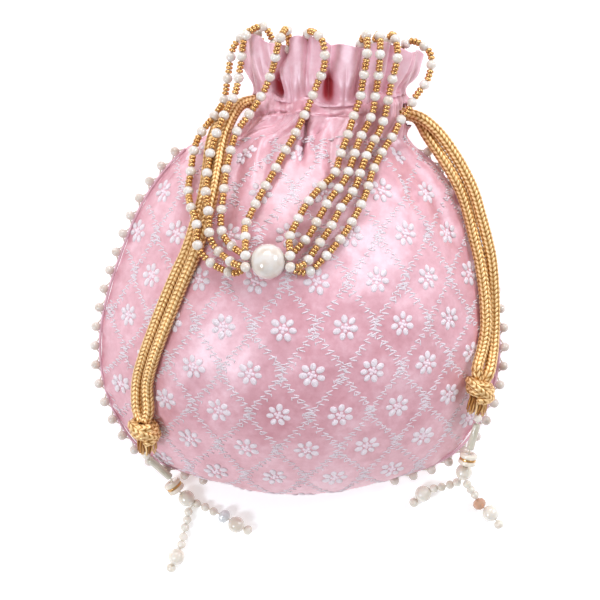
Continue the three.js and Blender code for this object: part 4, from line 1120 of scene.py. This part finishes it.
innerSkin = surface - normals * pouch["wall"]
innerSkin[..., 2] = np.maximum(innerSkin[..., 2], pouch["wall"] * 0.6)
middles = surface[:-1] + np.roll(surface[:-1], -1, axis=1)
middles = (middles + surface[1:] + np.roll(surface[1:], -1, axis=1)) / 4
cordHole = np.zeros(middles.shape[:2], bool)
for route in cordRoutes.values():
    sideX = neckX + route["side"] * pouch["neckWidth"] / 2
    reach = ((middles[..., 1] - route["channelY"]) / folds["holeWide"]) ** 2
    reach += ((middles[..., 2] - neckZ) / folds["holeHigh"]) ** 2
    cordHole |= (reach < 1) & (np.abs(middles[..., 0] - sideX) < 14)
cordHole[-1] = False
pouchCloth = clothShell("pouch_cloth", surface, innerSkin, pinkSatin,
                        [(seamX, seamY, seamZ), (seamX, seamY + 1.2, seamZ)], hole=cordHole)
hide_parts("front_panel", "back_panel")
print("pouch cloth is made")

# embroidery
embroidery = {
    "pitch": 26.4, "rowStep": 20, "drift": -1.0, "origin": (-7, -25.5), "margin": 4.5,
    "petals": 7, "petalRing": 3.95, "petal": (3.7, 2.9, 1.25), "eye": 1.7,
    "dash": (3.5, 0.72, 0.68), "dashes": 16, "jitter": 0.3, "zigzag": 0.75, "nodeDashes": 3,
    "upright": 0.3,
}


class ClothMap:
    # finds a place on the cloth by its distance across from the crest and down from the neck
    def __init__(self, face):
        half = columnCount // 2
        columns = np.arange(half + 1) if face > 0 else np.arange(half, columnCount + 1) % columnCount
        grid = surface[:, columns]
        self.grid, self.normals = grid, normals[:, columns]
        middle = len(columns) // 2
        crest = grid[::-1, middle]
        self.down = distances(crest)[::-1]
        steps = np.linalg.norm(np.diff(grid, axis=1), axis=2)
        across = np.concatenate([np.zeros((len(grid), 1)), np.cumsum(steps, axis=1)], axis=1)
        across -= across[:, middle:middle + 1]
        self.across = -across if face > 0 else across
        self.crestY = crest[::-1, 1]

    def half(self, v):
        low = int(self.rowOf(v))
        return min(abs(self.across[low, 0]), abs(self.across[low, -1]))

    def rowOf(self, v):
        return float(np.interp(-v, -self.down, np.arange(len(self.down))))

    def at(self, u, v):
        row = min(self.rowOf(v), len(self.down) - 1.001)
        low = int(row)
        part = row - low
        line = self.across[low] * (1 - part) + self.across[low + 1] * part
        order = -1 if line[0] > line[-1] else 1
        column = float(np.interp(u, line[::order], np.arange(len(line))[::order]))
        column = min(column, len(line) - 1.001)
        c, beyond = int(column), column - int(column)

        def mix(values):
            a, b = values[low:low + 2, c] * (1 - beyond) + values[low:low + 2, c + 1] * beyond
            return a * (1 - part) + b * part

        normal = mix(self.normals)
        return mix(self.grid), normal / np.linalg.norm(normal)


def stitchFrame(cloth, u, v, du, dv):
    # axes of a stitch that runs along (du, dv) on the cloth: along, across, out
    place, normal = cloth.at(u, v)
    length = math.hypot(du, dv)
    ahead, _ = cloth.at(u + du / length * 0.8, v + dv / length * 0.8)
    along = ahead - place
    along -= normal * along.dot(normal)
    along /= np.linalg.norm(along)
    return place, np.stack([along, np.cross(normal, along), normal], axis=1)


def stretchedFrame(frame, sizes):
    place, axes = frame
    return place, axes * sizes


def ellipsoid(length, width, height, segments, rings):
    points, faces = ballShape(1, segments, rings)
    return points[:, [2, 0, 1]] * np.array([length, width, height]), faces


def sewFlower(cloth, source, u, v):
    # a ring of petals round an eye of five knots
    turn = source.uniform(0, 0.5)
    size = 1 if v > 52 else 0.88  # smaller near the neck
    petals = []
    for k in range(embroidery["petals"]):
        angle = 2 * math.pi * k / embroidery["petals"] + turn
        du, dv = math.cos(angle), math.sin(angle)
        ring = embroidery["petalRing"] * size * source.uniform(0.93, 1.07)
        found = stitchFrame(cloth, u + du * ring, v + dv * ring, du, dv)
        petals.append(stretchedFrame(found, size * source.uniform(0.9, 1.08)))
    eyes = [stitchFrame(cloth, u, v, 1, 0)]
    for k in range(4):
        angle = 1.6 * k + turn
        eyeU, eyeV = u + 1.3 * math.cos(angle), v + 1.3 * math.sin(angle)
        eyes.append(stitchFrame(cloth, eyeU, eyeV, 1, 0.4 * k))
    return petals, eyes


def sewLine(cloth, source, node, v, lean, lowest):
    # short stitches in zigzag from one node of the trellis down to the next, and a few more round the first
    stitches = []
    for k in range(embroidery["dashes"] + embroidery["nodeDashes"]):
        t = (k + 0.5) / embroidery["dashes"]
        if k >= embroidery["dashes"]:
            t = source.uniform(-0.2, 0.2)
        ease = 0.55 * (1 - math.cos(math.pi * t)) / 2 + 0.45 * t
        swing = 1 if k % 2 else -1
        across = (node + lean * embroidery["pitch"] / 2 * ease + swing * embroidery["zigzag"]
                  + source.uniform(-1, 1) * embroidery["jitter"])
        down = v + embroidery["rowStep"] * t + source.uniform(-0.25, 0.25)
        if not 24 < down < lowest or abs(across) > cloth.half(down) - embroidery["margin"] / 2:
            continue
        found = stitchFrame(cloth, across, down, 1, swing * source.uniform(0.15, 0.45))
        sizes = (source.uniform(0.75, 1.2), source.uniform(0.85, 1.15), 1)
        stitches.append(stretchedFrame(found, sizes))
        if source.uniform() < embroidery["upright"]:
            beside = across + source.choice([-1, 1]) * embroidery["dash"][0] * 0.42
            found = stitchFrame(cloth, beside, down + 0.8, source.uniform(-0.3, 0.3), 1)
            stitches.append(stretchedFrame(found, (source.uniform(0.4, 0.6), 0.85, 1)))
    return stitches


def embroider(face, nodeName):
    cloth = ClothMap(face)
    source = np.random.default_rng(11 if face > 0 else 12)
    pitch = embroidery["pitch"]
    originRow = int(np.argmin(np.abs(cloth.crestY[20:] - embroidery["origin"][1]))) + 20
    petals, eyes, dashes = [], [], []
    lowest = cloth.down[2]
    for j in range(-12, 12):
        v = cloth.down[originRow] + j * embroidery["rowStep"]
        shift = embroidery["origin"][0] + embroidery["drift"] * j + (pitch / 2 if j % 2 else 0)
        for i in range(-9, 10):
            u = shift + i * pitch
            if 38 < v < lowest and abs(u) < cloth.half(v) - embroidery["margin"]:
                ring, knots = sewFlower(cloth, source, u, v)
                petals.extend(ring)
                eyes.extend(knots)
            for lean in (-1, 1):
                dashes.extend(sewLine(cloth, source, u + pitch / 2, v, lean, lowest))
    side = "front" if face > 0 else "back"
    petal = ellipsoid(*embroidery["petal"], 8, 6)
    petalUv = np.stack([petal[0][:, 1] * 0.4, petal[0][:, 0] * 2.2], 1)
    eye = ellipsoid(embroidery["eye"], embroidery["eye"], 0.9, 8, 5)
    dash = ellipsoid(*embroidery["dash"], 5, 4)
    dashUv = np.stack([dash[0][:, 0] * 0.3, dash[0][:, 1] * 2.6], 1)
    pieces = [
        copiesPiece(f"{side}_flower_petals", petal, petals, whiteThread, uv=petalUv),
        copiesPiece(f"{side}_flower_eyes", eye, eyes, whiteThread),
        copiesPiece(f"{side}_trellis_stitches", dash, dashes, whiteThread, uv=dashUv),
    ]
    for obj in pieces:
        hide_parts(nodeName)


embroider(1, "front_panel")
embroider(-1, "back_panel")
print("embroidery is made")

# pearl edging
edging = {
    "reach": 2.95, "pitch": 8.7, "pearl": 4.3, "piping": 1.3, "thread": 0.75, "tuck": 40, "freeShare": 0.42,
    "gap": 0.3,
}


def edgeStops():
    top = neckStation - 1.4
    result = []
    for side, stations in ((-1, np.linspace(top, 0, 23)), (1, np.linspace(0, top, 23)[1:])):
        name = "right" if side > 0 else "left"
        points, inward = railAt(name, stations, 0)
        for station, point, direction in zip(stations, points, inward):
            tuck = math.radians(edging["tuck"]) * (1 - smoothStep(station, 1.5, 4))
            reach = -direction * math.cos(tuck)
            reach[2] = -math.sin(tuck)
            result.append((point + np.array([0, 0, edging["gap"] / 2]), reach))
    return result


stops = edgeStops()


def edgeLine(distance, step=0.5):
    return evenPath([point + reach * distance for point, reach in stops], step)


pearlPath, pearlAlong = edgeLine(edging["reach"])
count = int(round(pearlAlong[-1] / edging["pitch"]))
edgeShare = edging["pearl"] / pearlAlong[-1]
pearlAt = np.linspace(edgeShare, 1 - edgeShare, count + 1) * pearlAlong[-1]
pearlX = np.interp(pearlAt, pearlAlong, pearlPath[:, 0])
pearlAt = pearlAt[np.abs(pearlX) > pouch["width"] * edging["freeShare"] / 2]
seamPath, _ = edgeLine(edging["piping"] / 2, 0.6)
piping = tubePiece("seam_piping", seamPath,
                   lambda s, a: edging["piping"] / 2 * (0.94 + 0.06 * np.sin(2 * math.pi * s / 1.6 + a)),
                   12, pinkPiping, uvScale=2)
seamLike = valuesAt(np.linspace(0, 1, len(pearlPath)), np.linspace(0, 1, len(seamPath)), seamPath)
nearPearl = np.min(np.abs(pearlAlong[:, None] - pearlAt[None]), axis=1)
loop = np.clip(1 - nearPearl / (edging["pitch"] * 0.42), 0, 1) ** 0.8
picotPath = seamLike + (pearlPath - seamLike) * loop[:, None]
# a picot is made where the line comes near a pearl
used = np.concatenate([[0], nearPearl < edging["pitch"] * 0.4, [0]])
runs = np.flatnonzero(np.diff(used)).reshape(-1, 2)
picots = joinShapes([tubeShape(picotPath[start:end], edging["thread"] / 2)
                     for start, end in runs if end - start > 4])
picotThread = meshPiece("picot_thread", *picots, stringThread, uv=picots[0][:, :2] / 2)
edgeBall = ballShape(edging["pearl"], 16, 10, 0.95)
edgeFrames = framesAt(pearlPath, pearlAlong, pearlAt)
edgePearls = copiesPiece("edge_pearl_row", edgeBall, edgeFrames, edgePearl)
for obj in (piping, picotThread, edgePearls):
    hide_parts("edge_pearls")
print("edging is made")

# frill
frill = {
    "start": 12.9, "depth": 3.4, "wall": 0.7, "edgeWave": 1.6, "edgeRise": 1.2, "startInset": 2.2,
    "gather": 0.9, "flute": 1.25, "crumple": 0.35,
    # folds between the ruffle's lobes: degrees round from the right, width in degrees, depth near the neck
    # and at the edge, how far the edge falls in them, and degrees that they lean back to the edge
    "gaps": [(134, 6.5, 9.5, 4.5, 4.5, 13), (91.5, 6, 9, 3.4, 3, 2), (108, 4, 3.5, 3.5, 1.6, 3),
             (70, 5, 4.5, 3, 1.4, 0), (47, 4.5, 4, 3.4, 1.4, 0), (24, 5, 4, 3.5, 1.5, 0),
             (178, 9, 1, 1, 5, 0), (153, 4, 2, 1.2, 0, 0), (200, 6, 5, 4, 2, 0), (232, 7, 6, 5, 2, 0),
             (262, 6, 5, 4, 2, 0), (300, 7, 6, 5, 2, 0), (334, 6, 5, 4, 2, 0), (2, 8, 1, 1, 3, 0)],
}


def frillFolds(turn, y):
    # how deep the folds between the lobes are, 0 or more, and how far the edge falls there
    inward = np.zeros(np.broadcast(turn, y).shape)
    fall = np.zeros_like(inward)
    for degrees, width, low, top, drop, lean in frill["gaps"]:
        middle = np.radians(degrees - lean * smoothStep(y, channelTopY + 2, frillTopY))
        narrower = math.radians(width) * (1 - 0.5 * smoothStep(y, channelTopY + 1, channelTopY + 9))
        away = np.abs((turn - middle + math.pi) % (2 * math.pi) - math.pi) / narrower
        shape = np.exp(-np.abs(away) ** 1.7)
        depth = low + (top - low) * smoothStep(y, channelTopY + 4, channelTopY + 9.5)
        inward += shape * depth * smoothStep(y, channelTopY - 1, channelTopY + 2)
        fall += np.exp(-np.abs(away * 0.7) ** 1.3) * drop
    return inward, fall


def frillSurface(station, turn):
    inset = frill["startInset"] * (1 - smoothStep(station, 13, 13.6))
    grid = clothGrid(station, turn, inset=inset, sideInset=-0.8 * inset)
    normal = gridNormals(grid)
    a = np.broadcast_to(turn[None], grid.shape[:2])
    up = np.broadcast_to(((station - 13) / 2)[:, None], a.shape)
    inward, fall = frillFolds(a, grid[..., 1])
    phase = 15 * a + 1.1 * np.sin(2 * a + 0.4) + 0.9 * np.sin(5 * a + 1.2)
    fine = np.abs(np.sin(1.6 * phase)) ** 0.7 - 0.7
    offset = frill["gather"] * fine * (1 - smoothStep(up, 0.2, 0.8))
    offset += frill["flute"] * np.sin(phase) * smoothStep(up, 0, 0.5)
    offset += frill["depth"] * 0.4 * smoothStep(up, 0.1, 0.6) * (0.4 + 0.6 * np.sin(0.37 * phase + 1))
    offset += frill["crumple"] * waves(grid[..., 0], grid[..., 1], 31, low=0.15, high=0.6)
    grid = grid + normal * (offset - inward)[..., None]
    edge = smoothStep(up, 0.3, 1)
    grid[..., 1] += edge * (frill["edgeWave"] * np.sin(0.5 * phase + 0.8) - fall + frill["edgeRise"])
    leftDip = 1 - smoothStep(station, 13, 14.2)
    grid[..., 1] -= cord["dip"] * np.sin(turn)[None] ** 2 * leftDip[:, None]
    # the third value is painted shade: how far the deep rose is mixed in, more in the deeper folds
    return grid, normal, smoothStep(inward, 3.5, 7)


frillRows = np.linspace(frill["start"], frillStation, 56)
frillTurns = np.linspace(0, 2 * math.pi, 600, endpoint=False)
outerFrill, frillNormals, foldShade = frillSurface(frillRows, frillTurns)
outerFrill = pressedUnder(outerFrill, frillNormals, clearance=0.25, blend=1.6)
innerFrill = outerFrill - frillNormals * frill["wall"]
frillCloth = clothShell("frill_cloth", outerFrill, innerFrill, frillSatin, None,
                        attributes={"paintedShade": np.tile(foldShade.ravel(), 2)})
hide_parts("frill")
print("frill is made")

# lining
lining = {"gap": 1.9, "pleat": 1.6, "cordRoom": 2, "sideDraw": 7, "wrinkles": 14, "wrinkle": 0.3}


def liningGrid(wall):
    station = np.array([0.02, *np.linspace(0.4, 11, 36), *np.linspace(11.2, 14.0, 28)])
    y = splineSample(rails["front"], station / frillStation)[:, 1]
    draw = smoothStep(y, neckY - 14, neckY - 5) * (1 - smoothStep(y, channelTopY - 1, channelTopY + 3.5))
    pleat = lining["pleat"] * stationValue(8, [1, 1, 1.9375, 2.875], station)
    inset = pouch["wall"] + lining["gap"] + pleat + (cord["diameter"] + lining["cordRoom"]) * draw + wall
    turn = np.linspace(0, 2 * math.pi, 144, endpoint=False)
    grid = clothGrid(station, turn, inset=inset, sideInset=lining["sideDraw"] * draw)
    normal = gridNormals(grid)
    wrinkle = np.sin(lining["wrinkles"] * turn)[None] * smoothStep(station, 8, 12)[:, None]
    inward, _ = frillFolds(np.broadcast_to(turn[None], grid.shape[:2]), grid[..., 1])
    return grid + normal * (lining["wrinkle"] * wrinkle - inward)[..., None]


liningCloth = clothShell("lining_cloth", liningGrid(0.0), liningGrid(pouch["liningWall"]), roseLining,
                         [(seamX, seamY + 3.2, seamZ), (seamX, seamY + 4.2, seamZ)])
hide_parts("lining")
print("lining is made")

# floor and light
deselect()
bpy.ops.mesh.primitive_plane_add(size=8, location=(0, 0, 0))
floor = bpy.context.object
floor.name = "paleFloor"
floorPaint = tintedMaterial("paleFloorPaint", 30, [(0.3, "#f9f9f9"), (0.7, "#fbfbfb")], {
    "Roughness": 0.9, "Emission Color": (1, 1, 1, 1), "Emission Strength": 0.3})
floor.data.materials.append(floorPaint)


def areaLight(name, place, size, power, tint):
    # a softbox aimed at the bag
    data = bpy.data.lights.new(name, "AREA")
    data.shape = "RECTANGLE"
    data.size, data.size_y = size
    data.energy = power
    data.color = tint
    lamp = bpy.data.objects.new(name, data)
    lamp.location = place
    direction = Vector((0, 0, 0.03)) - Vector(place)
    lamp.rotation_euler = direction.to_track_quat("-Z", "Y").to_euler()
    bpy.context.scene.collection.objects.link(lamp)


areaLight("keySoftbox", (-0.1, 0.95, 0.68), (0.7, 0.5), 6.9, (0.9, 0.95, 1))
areaLight("rightSoftbox", (0.8, 0.42, 0.7), (0.4, 0.4), 6.6, (0.8, 0.9, 1))
areaLight("leftSoftbox", (-0.74, -0.5, 0.78), (0.3, 0.3), 6.2, (0.8, 0.9, 1))
world = bpy.data.worlds.new("paleStudio")
world.use_nodes = True
worldTree = world.node_tree
# the room is dimmer on the side of the bag's bottom
towards = addNode(worldTree, "ShaderNodeSeparateXYZ", {"Vector": coordinates(worldTree, "Generated")})
dimming = addNode(worldTree, "ShaderNodeMapRange", {
    "Value": towards.outputs["Y"], "From Min": -1, "From Max": 1, "To Min": 0.36, "To Max": 0.6})
feed(worldTree, worldTree.nodes["Background"], {
    "Color": (1, 0.97, 0.96, 1), "Strength": dimming.outputs["Result"]})
bpy.context.scene.world = world
bpy.context.scene.view_settings.view_transform = "Standard"
print("floor and light are set")
